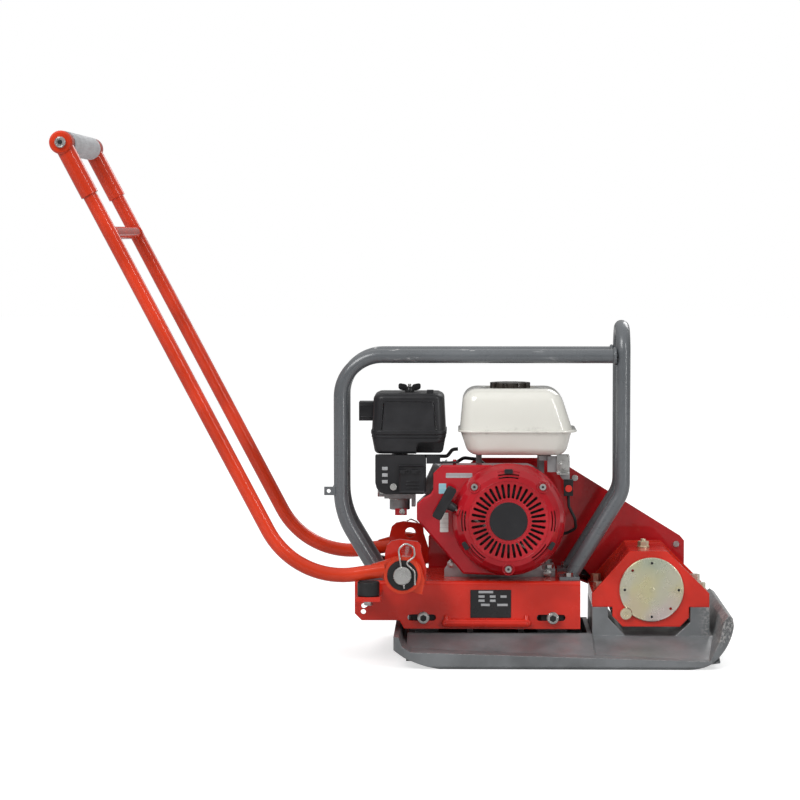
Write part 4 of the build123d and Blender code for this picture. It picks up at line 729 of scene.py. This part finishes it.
class COMPACTOR_OT_fuel_tank(bpy.types.Operator):
    """Pressed fuel tank: domed upper shell with its filler dish, lower shell, seam and front strap"""

    bl_idname = "compactor.fuel_tank"
    bl_label = "Fuel tank"

    def execute(self, context):
        low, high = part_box("fuel_tank")
        cap_low, cap_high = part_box("fuel_cap")
        cap = (cap_low + cap_high) / 2
        seam = low.z + 0.045
        upper = pressed_shell("tank_upper", (low.x + 0.003, low.y + 0.003, seam),
                              (high.x - 0.008, high.y - 0.003, low.z + 0.119), (0.007, 0.024, 0.010),
                              0.026, 0.022)
        bpy.ops.mesh.primitive_cylinder_add(vertices=96, radius=0.048, depth=0.040,
                                            location=(cap.x, cap.y, low.z + 0.104 + 0.020))
        dish = named("dish")
        settle(dish)
        bevelled(dish, lambda place, way: place.z < low.z + 0.105 and abs(way.z) < 0.1, 0.008, 5)
        cut(upper, dish)
        round_edges(upper, 0.0018, 2, 40)
        lower = pressed_shell("tank_lower", (low.x + 0.004, low.y + 0.004, low.z + 0.002),
                              (high.x - 0.010, high.y - 0.004, seam), (0.014, 0.010, 0.014),
                              0.026, 0.014, upward=False)
        neck = round_bar("filler_neck", (cap.x, cap.y, low.z + 0.098), (cap.x, cap.y, cap_low.z + 0.004),
                         0.027, 64)
        placed(joined("tank_shell", [upper, lower, neck]), "machine", "tank_white", smooth=40)
        rim = block("tank_seam", (low.x, low.y, seam - 0.0018), (high.x - 0.001, high.y, seam + 0.0018))
        bevelled(rim, edge_run("Z"), 0.030, 8)
        round_edges(rim, 0.0012, 2)
        placed(rim, "machine", "tank_white")
        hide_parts("fuel_tank")
        self.bracket(low, high)
        return {"FINISHED"}

    def bracket(self, low, high):
        """Plated strap and bolt that hold the tank's front corner."""
        rear, front = high.x - 0.036, high.x - 0.014
        bolt_x, bolt_z = high.x - 0.026, low.z - 0.016
        strap = block("tank_strap", (rear, low.y + 0.030, low.z - 0.030),
                      (front, low.y + 0.033, low.z + 0.004))
        foot = block("tank_strap_foot", (rear, low.y + 0.016, low.z - 0.031),
                     (front, low.y + 0.033, low.z - 0.028))
        bolt = round_bar("tank_strap_bolt", (bolt_x, low.y + 0.024, bolt_z),
                         (bolt_x, low.y + 0.031, bolt_z), 0.0052, 6)
        washer = round_bar("tank_strap_washer", (bolt_x, low.y + 0.028, bolt_z),
                           (bolt_x, low.y + 0.031, bolt_z), 0.0075, 32)
        strap = joined("tank_strap", [strap, foot, bolt, washer])
        round_edges(strap, 0.0005, 2)
        placed(strap, "machine", "bright_steel")


class COMPACTOR_OT_filler_cap(bpy.types.Operator):
    """Fluted filler cap with a raised centre"""

    bl_idname = "compactor.filler_cap"
    bl_label = "Filler cap"

    def execute(self, context):
        low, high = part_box("fuel_cap")
        centre = (low + high) / 2
        flutes, sides = 12, 96
        clear_selection()
        bpy.ops.mesh.primitive_cylinder_add(vertices=sides, radius=0.0355, depth=high.z - low.z,
                                            location=centre)
        cap = named("cap_body")
        settle(cap)

        def in_flute(place, normal):
            """Faces of the rim in every other group of four."""
            turn = math.atan2(place.y - centre.y, place.x - centre.x) / (2 * math.pi) * sides
            return abs(normal.z) < 0.5 and int(turn % sides) % (sides // flutes) in (2, 3, 4, 5)

        pick(cap, in_flute)
        bpy.ops.mesh.extrude_region_shrink_fatten(TRANSFORM_OT_shrink_fatten={"value": -0.0030})
        bpy.ops.object.mode_set(mode="OBJECT")
        pick(cap, lambda place, normal: normal.z > 0.9)
        bpy.ops.mesh.inset(thickness=0.007)
        bpy.ops.transform.translate(value=(0, 0, -0.0015))
        bpy.ops.mesh.inset(thickness=0.010)
        bpy.ops.transform.translate(value=(0, 0, 0.0013))
        bpy.ops.object.mode_set(mode="OBJECT")
        round_edges(cap, 0.0009, 2)
        placed(cap, "filler_cap", "black_plastic", "cap_bronze")
        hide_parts("fuel_cap")
        return {"FINISHED"}


class COMPACTOR_OT_air_cleaner(bpy.types.Operator):
    """Air cleaner: moulded lid with an inset panel, skirt and latch, ribbed snout, notched tray and stud"""

    bl_idname = "compactor.air_cleaner"
    bl_label = "Air cleaner"

    def execute(self, context):
        low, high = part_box("air_cleaner_cover")
        tray_low, tray_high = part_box("air_cleaner_base")
        rear = low.x + 0.023
        lid = pressed_shell("lid", (rear, low.y, low.z), (high.x, high.y, high.z - 0.001),
                            (0.004, 0.004, 0.004), 0.018, 0.009)
        inset(lid, lambda place, normal: normal.y < -0.95, 0.006, (0, 0.0016, 0))
        skirt = block("skirt", (rear - 0.001, low.y - 0.001, low.z + 0.006),
                      (high.x + 0.001, high.y + 0.001, low.z + 0.013))
        bevelled(skirt, edge_run("Z"), 0.019, 8)
        top = block("lid_top", (rear + 0.012, low.y + 0.010, high.z - 0.004),
                    (high.x - 0.012, high.y - 0.010, high.z))
        bevelled(top, edge_run("Z"), 0.012, 5)
        latch = block("latch", (high.x - 0.034, low.y + 0.014, high.z - 0.003),
                      (high.x - 0.022, low.y + 0.026, high.z + 0.006))
        lid = joined("air_cleaner_lid", [lid, skirt, top, latch])
        round_edges(lid, layout().edge, 3)
        placed(lid, "machine", "black_plastic")
        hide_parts("air_cleaner_cover")
        self.snout(low)
        tray = pressed_shell("air_cleaner_tray", (tray_low.x - 0.003, low.y, tray_low.z),
                             (tray_high.x + 0.003, tray_high.y, low.z - 0.0005), (0.005, 0.005, 0.004),
                             0.018, 0.006, upward=False)
        notch = block("tray_notch", (tray_high.x - 0.048, low.y - 0.010, tray_low.z - 0.001),
                      (tray_high.x + 0.010, low.y + 0.030, low.z - 0.008))
        bevelled(notch, lambda place, way: (abs(way.y) > 0.9 and place.x < tray_high.x - 0.04
                                            and place.z > low.z - 0.02), 0.008, 4)
        cut(tray, notch)
        round_edges(tray, 0.0008, 2, 40)
        placed(tray, "machine", "black_plastic")
        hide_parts("air_cleaner_base")
        nut_low, nut_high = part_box("wing_nut")
        x, y = nut_low.x + 0.020, nut_low.y + 0.009
        stud = round_bar("lid_stud", (x, y, high.z - 0.003), (x, y, nut_high.z - 0.002), 0.0028, 24)
        placed(stud, "machine", "bright_steel")
        return {"FINISHED"}

    def snout(self, low):
        """Intake snout: a short square duct with a diagonal cross inside."""
        y_low, y_high, z_low, z_high = -0.034, 0.010, 0.413, 0.446
        duct = block("snout", (low.x, y_low, z_low), (low.x + 0.030, y_high, z_high))
        pick(duct, lambda place, normal: normal.x < -0.9)
        bpy.ops.mesh.inset(thickness=0.0028)
        bpy.ops.mesh.extrude_region_move(TRANSFORM_OT_translate={"value": (0.020, 0, 0)})
        bpy.ops.object.mode_set(mode="OBJECT")
        parts = [duct]
        for side in (-1, 1):
            rib = block("snout_rib", (low.x + 0.004, -0.0245, -0.0010), (low.x + 0.020, 0.0245, 0.0010))
            rib.matrix_world = (Matrix.Translation((0, (y_low + y_high) / 2, (z_low + z_high) / 2))
                                @ Matrix.Rotation(side * math.radians(37), 4, "X"))
            settle(rib)
            parts.append(rib)
        for side, z in ((-1, z_low + 0.006), (1, z_high - 0.006)):
            parts.append(block("snout_lip", (low.x + 0.002, y_low - 0.001, z - 0.001),
                               (low.x + 0.028, y_low + 0.002, z + 0.001)))
        snout = joined("air_snout", parts)
        round_edges(snout, 0.0006, 2)
        placed(snout, "machine", "black_plastic")


class COMPACTOR_OT_cover_nut(bpy.types.Operator):
    """Wing nut of the air cleaner: a round hub with two curved wings"""

    bl_idname = "compactor.cover_nut"
    bl_label = "Cover nut"

    def execute(self, context):
        low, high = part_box("wing_nut")
        centre = (low + high) / 2
        clear_selection()
        bpy.ops.mesh.primitive_cone_add(vertices=48, radius1=0.0088, radius2=0.0060, depth=0.009,
                                        location=(centre.x, centre.y, low.z + 0.0045))
        hub = named("nut_hub")
        settle(hub)
        parts = [hub]
        for side in (-1, 1):
            middle = centre.x + side * 0.011
            wing = block("nut_wing", (middle - 0.007, centre.y - 0.0023, low.z + 0.001),
                         (middle + 0.007, centre.y + 0.0023, high.z - 0.003))
            pick(wing, lambda place, normal: (place.x - centre.x) * side > 0.012, "VERT")
            bpy.ops.transform.translate(value=(side * 0.0018, 0, 0.0028))
            bpy.ops.object.mode_set(mode="OBJECT")
            bevelled(wing, edge_run("Y"), 0.0045, 5)
            parts.append(wing)
        nut = joined("wing_nut_moulded", parts)
        round_edges(nut, 0.0007, 2)
        placed(nut, "cover_nut", "black_plastic")
        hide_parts("wing_nut")
        return {"FINISHED"}


class COMPACTOR_OT_controls(bpy.types.Operator):
    """Control cover with its cut lower corner, raised lever panel and blank printed marks"""

    bl_idname = "compactor.controls"
    bl_label = "Controls"

    def execute(self, context):
        low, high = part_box("control_cover")
        face = low.y + 0.006
        cover = block("control_cover_moulded", (low.x, face, low.z), (high.x, high.y, high.z + 0.006))
        bevelled(cover, lambda place, way: (abs(way.y) > 0.9 and place.x < low.x + 0.01
                                            and place.z < low.z + 0.01), 0.020, 3)
        bevelled(cover, lambda place, way: abs(way.y) > 0.9 and place.x > high.x - 0.01, 0.006, 4)
        inset(cover, lambda place, normal: normal.y < -0.95, 0.003, (0, 0.0012, 0))
        frame_low = Vector((low.x + 0.042, face - 0.0045, low.z + 0.003))
        frame_high = Vector((high.x - 0.002, face + 0.004, high.z - 0.012))
        panel = block("lever_panel", frame_low, frame_high)
        inset(panel, lambda place, normal: normal.y < -0.95, 0.0022, (0, 0.0030, 0))
        ribs = [block("panel_rib", (frame_low.x + 0.012, face - 0.003, low.z + z),
                      (frame_high.x - 0.010, face + 0.002, low.z + z + 0.0012))
                for z in (0.010, 0.016, 0.022)]
        cover = joined("control_cover_moulded", [cover, panel] + ribs)
        round_edges(cover, 0.0006, 2)
        placed(cover, "machine", "black_plastic")
        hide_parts("control_cover")
        for row in range(3):
            z = high.z - 0.014 - 0.0115 * row
            mark = block("choke_mark_%d" % row, (low.x + 0.012, face - 0.0004, z - 0.006),
                         (low.x + 0.022, face + 0.002, z))
            round_edges(mark, 0.0003, 1)
            placed(mark, "machine", "black_plastic", "pale_print")
        return {"FINISHED"}


class COMPACTOR_OT_starter_grip(bpy.types.Operator):
    """Moulded starter grip: a hollow-backed cross bar on a tapered stem"""

    bl_idname = "compactor.starter_grip"
    bl_label = "Starter grip"

    def execute(self, context):
        pull = [joint for joint in frame["joints"] if joint["name"] == "starter_pull"][0]
        out = Vector(pull["axis"]).normalized()
        across = Vector((0, 1, 0)).cross(out)
        rope_low, rope_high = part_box("starter_rope")
        y = (rope_low.y + rope_high.y) / 2
        tip = Vector((rope_low.x, y, rope_high.z)) + out * 0.001
        turn = Matrix((across, Vector((0, 1, 0)), out)).transposed().to_4x4()

        def laid(piece):
            """Carries a piece from its own upright frame onto the pull line."""
            piece.matrix_world = Matrix.Translation(tip) @ turn
            settle(piece)
            return piece

        bar = block("bar", (-0.0305, -0.0098, 0.0105), (0.0305, 0.0098, 0.0275))
        pick(bar, lambda place, normal: normal.z > 0.9)
        bpy.ops.mesh.inset(thickness=0.0024)
        bpy.ops.mesh.extrude_region_move(TRANSFORM_OT_translate={"value": (0, 0, -0.0085)})
        bpy.ops.object.mode_set(mode="OBJECT")
        bevelled(bar, lambda place, way: abs(way.y) > 0.95 and abs(place.x) > 0.029, 0.0042, 4)
        parts = [bar]
        for x in (-0.014, 0.0, 0.014):
            parts.append(block("web", (x - 0.001, -0.0078, 0.0120), (x + 0.001, 0.0078, 0.0262)))
        clear_selection()
        bpy.ops.mesh.primitive_cone_add(vertices=32, radius1=0.0068, radius2=0.0092, depth=0.0165,
                                        location=(0, 0, 0.00525))
        stem = named("stem")
        settle(stem)
        parts.append(stem)
        for part in parts:
            laid(part)
        grip = joined("starter_t_grip", parts)
        round_edges(grip, 0.0008, 3)
        placed(grip, "starter", "black_plastic")
        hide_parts("starter_grip")
        return {"FINISHED"}


class COMPACTOR_OT_labels(bpy.types.Operator):
    """Blank stickers on the cooling shroud"""

    bl_idname = "compactor.labels"
    bl_label = "Labels"

    def execute(self, context):
        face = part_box("fan_shroud")[0].y
        for name, place, size, print_finish in (
                ("label_bar", (-0.180, 0.321), (0.046, 0.0085), "label_silver"),
                ("label_upper", (-0.2090, 0.298), (0.013, 0.018), "label_blue"),
                ("label_lower", (-0.2060, 0.2385), (0.0145, 0.034), "label_white")):
            sticker = block(name, (place[0] - size[0] / 2, face - 0.0004, place[1] - size[1] / 2),
                            (place[0] + size[0] / 2, face + 0.0006, place[1] + size[1] / 2))
            bevelled(sticker, edge_run("Y"), 0.0012, 3)
            placed(sticker, "machine", "cowl_red", print_finish)
        return {"FINISHED"}


# ---- frame, plate and handle pieces ----
class COMPACTOR_OT_welds(bpy.types.Operator):
    """Weld beads of the cage and its strap, the bracket ears and the handle's brace"""

    bl_idname = "compactor.welds"
    bl_label = "Welds"

    def execute(self, context):
        self.cage_welds()
        self.bracket_welds()
        self.handle_welds()
        return {"FINISHED"}

    def cage_welds(self):
        """Beads where the rails meet the hoop and where the strap meets the rails."""
        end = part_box("cage_rails")[1]
        beads = []
        for side in (-1, 1):
            y = side * RAIL_Y
            beads.append(weld_ring("rail_weld", (end.x - 0.002, y, end.z - TUBE_RADIUS), (1, 0, 0),
                                   TUBE_RADIUS + 0.0005, 0.0028))
            for z in (0.2845, 0.2985):
                beads.append(weld_line("strap_weld", (STRAP_X, y - 0.009, z), (STRAP_X, y + 0.009, z),
                                       0.0016))
        placed(joined("cage_welds", beads), "machine", "cage_grey", smooth=60)

    def bracket_welds(self):
        """Beads round the cross tube inside each ear."""
        x, z = PIVOT_AXIS
        beads = [weld_ring("ear_weld", (x, side * 0.1492, z), (0, 1, 0), 0.0205, 0.0024)
                 for side in (-1, 1)]
        placed(joined("bracket_welds", beads), "machine", "frame_red", smooth=60)

    def handle_welds(self):
        """Beads at the brace's ends."""
        brace_low, brace_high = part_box("handle_brace")
        middle = (brace_low + brace_high) / 2
        beads = [weld_ring("brace_weld", (middle.x, side * (brace_high.y - 0.003), middle.z), (0, 1, 0),
                           0.0115, 0.0020)
                 for side in (-1, 1)]
        placed(joined("handle_welds", beads), "handle", "handle_red", smooth=60)


class COMPACTOR_OT_starter_cover(bpy.types.Operator):
    """Recoil cover details: badge rings, raised beads, screw cups and three dark notches"""

    bl_idname = "compactor.starter_cover"
    bl_label = "Starter cover"

    def execute(self, context):
        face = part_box("recoil_cover")[0].y
        centre = Vector((CRANK_AXIS[0], face, CRANK_AXIS[1]))
        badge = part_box("centre_badge")[0].y
        rim = hoop("badge_rim", (centre.x, badge + 0.0006, centre.z), (0, 1, 0), 0.0318, 0.0009, 96, 8)
        placed(rim, "machine", "black_plastic", smooth=60)
        shallow = hoop("badge_ring", (centre.x, badge + 0.0005, centre.z), (0, 1, 0), 0.0225, 0.0005, 96, 8)
        placed(shallow, "machine", "black_plastic", smooth=60)
        rings = [hoop("cover_bead", (centre.x, face + 0.0004, centre.z), (0, 1, 0), radius, 0.0008, 128, 8)
                 for radius in (0.0380, 0.0700)]
        placed(joined("cover_beads", rings), "machine", "cowl_red", smooth=60)
        cups = []
        for degrees in COWL_SCREW_DEGREES:
            x, z = on_circle((centre.x, centre.z), COWL_SCREW_RADIUS, degrees)
            cups.append(hoop("screw_cup", (x, face + 0.0008, z), (0, 1, 0), 0.0098, 0.0009, 48, 8))
        placed(joined("screw_cups", cups), "machine", "cowl_red", smooth=60)
        notches = []
        for degrees in (90, 210, 330):
            angle = math.radians(degrees)
            out = Vector((math.cos(angle), 0, math.sin(angle)))
            notch = block("notch", (-0.0075, -0.0014, -0.0040), (0.0075, 0.0014, 0.0040))
            bevelled(notch, edge_run("Y"), 0.0024, 4)
            across = Vector((0, 1, 0)).cross(out)
            notch.matrix_world = (Matrix.Translation(centre + out * 0.0865 + Vector((0, 0.0022, 0)))
                                  @ Matrix((across, Vector((0, 1, 0)), out)).transposed().to_4x4())
            settle(notch)
            notches.append(notch)
        notch = joined("cover_notches", notches)
        round_edges(notch, 0.0004, 2)
        placed(notch, "machine", "black_plastic")
        return {"FINISHED"}


class COMPACTOR_OT_carburettor(bpy.types.Operator):
    """Carburettor details: bowl rim and nut, idle screw, drain bracket and drain screw"""

    bl_idname = "compactor.carburettor"
    bl_label = "Carburettor details"

    def execute(self, context):
        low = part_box("carburettor")[0]
        bowl = Vector((-0.285, -0.028, low.z))
        rim = hoop("bowl_rim", (bowl.x, bowl.y, 0.2745), (0, 0, 1), 0.0180, 0.0012, 64, 8)
        nut = round_bar("bowl_nut", (bowl.x, bowl.y, low.z - 0.004), (bowl.x, bowl.y, low.z + 0.002),
                        0.0055, 6)
        x, z = low.x + 0.006, 0.288
        idle = round_bar("idle_screw", (x, low.y - 0.006, z), (x, low.y + 0.004, z), 0.0032, 24)
        placed(joined("bowl_fittings", [rim, nut, idle]), "machine", "bright_steel", smooth=40)
        rear, front, face = -0.2930, -0.2720, -0.0500
        bracket = block("drain_bracket", (rear, face, 0.2485), (front, -0.0470, 0.2590))
        tab = block("drain_tab", (rear, face, 0.2470), (front, -0.0330, 0.2490))
        bracket = joined("drain_bracket", [bracket, tab])
        round_edges(bracket, 0.0007, 2)
        placed(bracket, "machine", "cowl_red")
        x, z = -0.2800, 0.2535
        drain = round_bar("drain_screw", (x, -0.0530, z), (x, -0.0495, z), 0.0042, 6)
        washer = round_bar("drain_washer", (x, -0.0507, z), (x, -0.0498, z), 0.0054, 32)
        screw = joined("drain_screw", [drain, washer])
        round_edges(screw, 0.0005, 2)
        placed(screw, "machine", "bright_steel")
        return {"FINISHED"}


class COMPACTOR_OT_exciter(bpy.types.Operator):
    """Exciter details: cover rim, centre mark and the weld beads of its flange"""

    bl_idname = "compactor.exciter"
    bl_label = "Exciter details"

    def execute(self, context):
        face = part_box("exciter_covers")[0].y
        centre = Vector((EXCITER_AXIS[0], face, EXCITER_AXIS[1]))
        rims = [hoop("cover_rim", (centre.x, face + 0.0008, centre.z), (0, 1, 0), 0.0545, 0.0010, 128, 8)]
        clear_selection()
        bpy.ops.mesh.primitive_cone_add(vertices=48, radius1=0.0060, radius2=0.0035, depth=0.0012,
                                        location=centre, rotation=(math.radians(90), 0, 0))
        mark = named("centre_mark")
        settle(mark)
        rims.append(mark)
        placed(joined("cover_rim", rims), "machine", "yellow_zinc", smooth=40)
        beads = [weld_line("flange_weld", (x, -0.0895, 0.0945), (x, -0.0895, 0.1145), 0.0020)
                 for x in (0.0545, 0.2555)]
        beads.append(weld_line("shoulder_weld", (0.121, -0.0893, 0.1880), (0.180, -0.0893, 0.1880), 0.0018))
        placed(joined("exciter_welds", beads), "machine", "exciter_red", smooth=60)
        return {"FINISHED"}


class COMPACTOR_OT_base_details(bpy.types.Operator):
    """Cast ridges of the base plate's sides and the round rails of the deck's lips"""

    bl_idname = "compactor.base_details"
    bl_label = "Base plate details"

    def execute(self, context):
        ridges = []
        for side in (-1, 1):
            y = side * 0.2135
            ridges.append(self.ridge((-0.238, y, 0.0155), (0.050, y, 0.0155), 0.0030))
            y = side * 0.2140
            ridges.append(self.ridge((0.052, y, 0.0130), (0.236, y, 0.0130), 0.0028))
            ridges.append(self.ridge((0.0525, side * 0.2145, 0.0130), (0.0525, side * 0.1100, 0.0405), 0.0026))
        placed(joined("plate_ridges", ridges), "machine", "plate_iron", smooth=60)
        self.deck_rails()
        return {"FINISHED"}

    def deck_rails(self):
        """Round bar along the outer edge of each deck lip, with its ends turned in and welded."""
        low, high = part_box("deck")
        ends, height, radius = (-0.202, -0.062), 0.0635, 0.0045
        parts = []
        for side, face in ((-1, low.y), (1, high.y)):
            y = face - side * 0.0035
            parts.append(round_bar("deck_rail", (ends[0], y, height), (ends[1], y, height), radius, 24))
            for x in ends:
                parts.append(round_bar("deck_rail_end", (x, y, height), (x, y - side * 0.006, 0.0760),
                                       radius, 24))
                clear_selection()
                bpy.ops.mesh.primitive_uv_sphere_add(segments=24, ring_count=12, radius=radius,
                                                     location=(x, y, height))
                knee = named("deck_rail_knee")
                settle(knee)
                parts.append(knee)
        placed(joined("deck_rails", parts), "machine", "frame_red", smooth=60)

    def ridge(self, start, end, size):
        """Low half-round ridge with closed, rounded ends."""
        bar = round_bar("plate_ridge", start, end, size, 16)
        round_edges(bar, size * 0.5, 3)
        return bar


class COMPACTOR_OT_fasteners(bpy.types.Operator):
    """Dark hexagons painted as the shade in the sockets of the deck, cover, cowl and grip screws, bright washers,
    and the engine's foot bolts
    """

    bl_idname = "compactor.fasteners"
    bl_label = "Fasteners"

    def execute(self, context):
        bolt_low, bolt_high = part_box("mount_bolts")
        sockets, washers = [], []
        for side, face in ((-1, bolt_low.y), (1, bolt_high.y)):
            for x in DECK_BOLT_X:
                sockets.append(self.socket(x, DECK_BOLT_Z, face, side, 0.0062))
                washers.append(hoop("bolt_washer", (x, face - side * 0.0012, DECK_BOLT_Z), (0, 1, 0),
                                    0.0088, 0.0011, 48, 8))
        cover_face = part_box("exciter_cover_screws")[0].y
        for degrees in COVER_SCREW_DEGREES:
            x, z = on_circle(EXCITER_AXIS, COVER_SCREW_RADIUS, degrees)
            sockets.append(self.socket(x, z, cover_face, -1, 0.0024))
        cowl_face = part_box("cowl_screws")[0].y
        for degrees in COWL_SCREW_DEGREES:
            x, z = on_circle(CRANK_AXIS, COWL_SCREW_RADIUS, degrees)
            sockets.append(self.socket(x, z, cowl_face, -1, 0.0026))
        # Painted shade: near-black hexagons stand in for the shade inside the screws' sockets.
        placed(joined("bolt_socket_shades", sockets), "machine", "black_rubber")
        placed(joined("bolt_washers", washers), "machine", "bright_steel", smooth=60)
        heads = []
        for x, z in ((-0.194, 0.160), (-0.170, 0.150), (-0.024, 0.1435)):
            heads.append(round_bar("foot_washer", (x, -0.0415, z), (x, -0.0395, z), 0.0072, 32))
            heads.append(round_bar("foot_bolt", (x, -0.0465, z), (x, -0.0410, z), 0.0056, 6))
        foot = joined("engine_foot_bolts", heads)
        round_edges(foot, 0.0006, 2)
        placed(foot, "machine", "bright_steel")
        screw_low, screw_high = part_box("grip_screws")
        middle = (screw_low + screw_high) / 2
        socket_shades, rims = [], []
        for side, face in ((-1, screw_low.y), (1, screw_high.y)):
            socket_shades.append(self.socket(middle.x, middle.z, face, side, 0.0042))
            rims.append(hoop("grip_washer", (middle.x, face - side * 0.0005, middle.z), (0, 1, 0),
                             0.0078, 0.0009, 48, 8))
        # Painted shade: dark hexagons stand in for the shade inside the grip screws' sockets.
        placed(joined("grip_socket_shades", socket_shades), "handle", "black_rubber")
        placed(joined("grip_washers", rims), "handle", "bright_steel", smooth=60)
        return {"FINISHED"}

    def socket(self, x, z, face, side, radius):
        """Dark hexagon let into a screw's head as painted shade of its socket; side is -1 on the near side and 1
        on the far side.
        """
        return round_bar("socket", (x, face + side * 0.0002, z), (x, face - side * 0.0020, z), radius, 6)


class COMPACTOR_OT_plate_fields(bpy.types.Operator):
    """Blank pale fields and a rim on the rating plate"""

    bl_idname = "compactor.plate_fields"
    bl_label = "Rating plate fields"

    def execute(self, context):
        low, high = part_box("rating_plate")
        face = low.y
        width, height = high.x - low.x, high.z - low.z
        fields = []
        for x, z, wide in ((0.20, 0.88, 0.36), (0.20, 0.72, 0.15), (0.48, 0.72, 0.14), (0.74, 0.72, 0.15),
                           (0.20, 0.57, 0.15), (0.48, 0.57, 0.14), (0.26, 0.42, 0.22), (0.66, 0.42, 0.26)):
            fields.append(block("plate_field", (low.x + x * width, face - 0.0002, low.z + z * height),
                                (low.x + (x + wide) * width, face + 0.0004, low.z + (z + 0.085) * height)))
        placed(joined("plate_fields", fields), "machine", "plate_black", "pale_print", smooth=0)
        margin, gap, radius = 0.0008, 0.001, 0.0004
        rails = []
        for x in (low.x + margin, high.x - margin):
            rails.append(round_bar("plate_rim", (x, face, low.z + gap), (x, face, high.z - gap), radius, 8))
        for z in (low.z + margin, high.z - margin):
            rails.append(round_bar("plate_rim", (low.x + gap, face, z), (high.x - gap, face, z), radius, 8))
        placed(joined("plate_rim", rails), "machine", "plate_black", smooth=60)
        return {"FINISHED"}


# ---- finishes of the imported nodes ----
class COMPACTOR_OT_finishes(bpy.types.Operator):
    """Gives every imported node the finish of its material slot"""

    bl_idname = "compactor.finishes"
    bl_label = "Finishes"

    def execute(self, context):
        for part in frame["record"]["subparts"]:
            node = frame["nodes"][part["node"]]
            node.data.materials.clear()
            node.data.materials.append(finish(part["material_slot"]))
        return {"FINISHED"}


# ---- panel ----
class COMPACTOR_PT_panel(bpy.types.Panel):
    """Lists the machine's paints, sizes and pieces"""

    bl_idname = "COMPACTOR_PT_panel"
    bl_label = "Compactor"
    bl_space_type = "VIEW_3D"
    bl_region_type = "UI"
    bl_category = "Compactor"

    def draw(self, context):
        column = self.layout.column()
        for group in (context.scene.compactor_paints, context.scene.compactor_sizes):
            for name in group.bl_rna.properties.keys():
                if name not in ("name", "rna_type"):
                    column.prop(group, name)
        for operator in OPERATORS:
            column.operator(operator.bl_idname)


OPERATORS = (COMPACTOR_OT_stage, COMPACTOR_OT_finishes, COMPACTOR_OT_fuel_tank, COMPACTOR_OT_filler_cap,
             COMPACTOR_OT_air_cleaner, COMPACTOR_OT_cover_nut, COMPACTOR_OT_controls,
             COMPACTOR_OT_starter_grip, COMPACTOR_OT_labels, COMPACTOR_OT_welds,
             COMPACTOR_OT_starter_cover, COMPACTOR_OT_carburettor, COMPACTOR_OT_exciter,
             COMPACTOR_OT_base_details, COMPACTOR_OT_fasteners, COMPACTOR_OT_plate_fields)
CLASSES = (CompactorPaints, CompactorSizes) + OPERATORS + (COMPACTOR_PT_panel,)


def register():
    """Registers the classes and the scene's properties."""
    for made in CLASSES:
        bpy.utils.register_class(made)
    bpy.types.Scene.compactor_paints = bpy.props.PointerProperty(type=CompactorPaints)
    bpy.types.Scene.compactor_sizes = bpy.props.PointerProperty(type=CompactorSizes)


def unregister():
    """Removes the properties and the classes."""
    del bpy.types.Scene.compactor_sizes
    del bpy.types.Scene.compactor_paints
    for made in reversed(CLASSES):
        bpy.utils.unregister_class(made)


def main():
    """Makes every piece in order."""
    register()
    for operator in OPERATORS:
        group, name = operator.bl_idname.split(".")
        getattr(getattr(bpy.ops, group), name)()


if __name__ == "__main__":
    main()
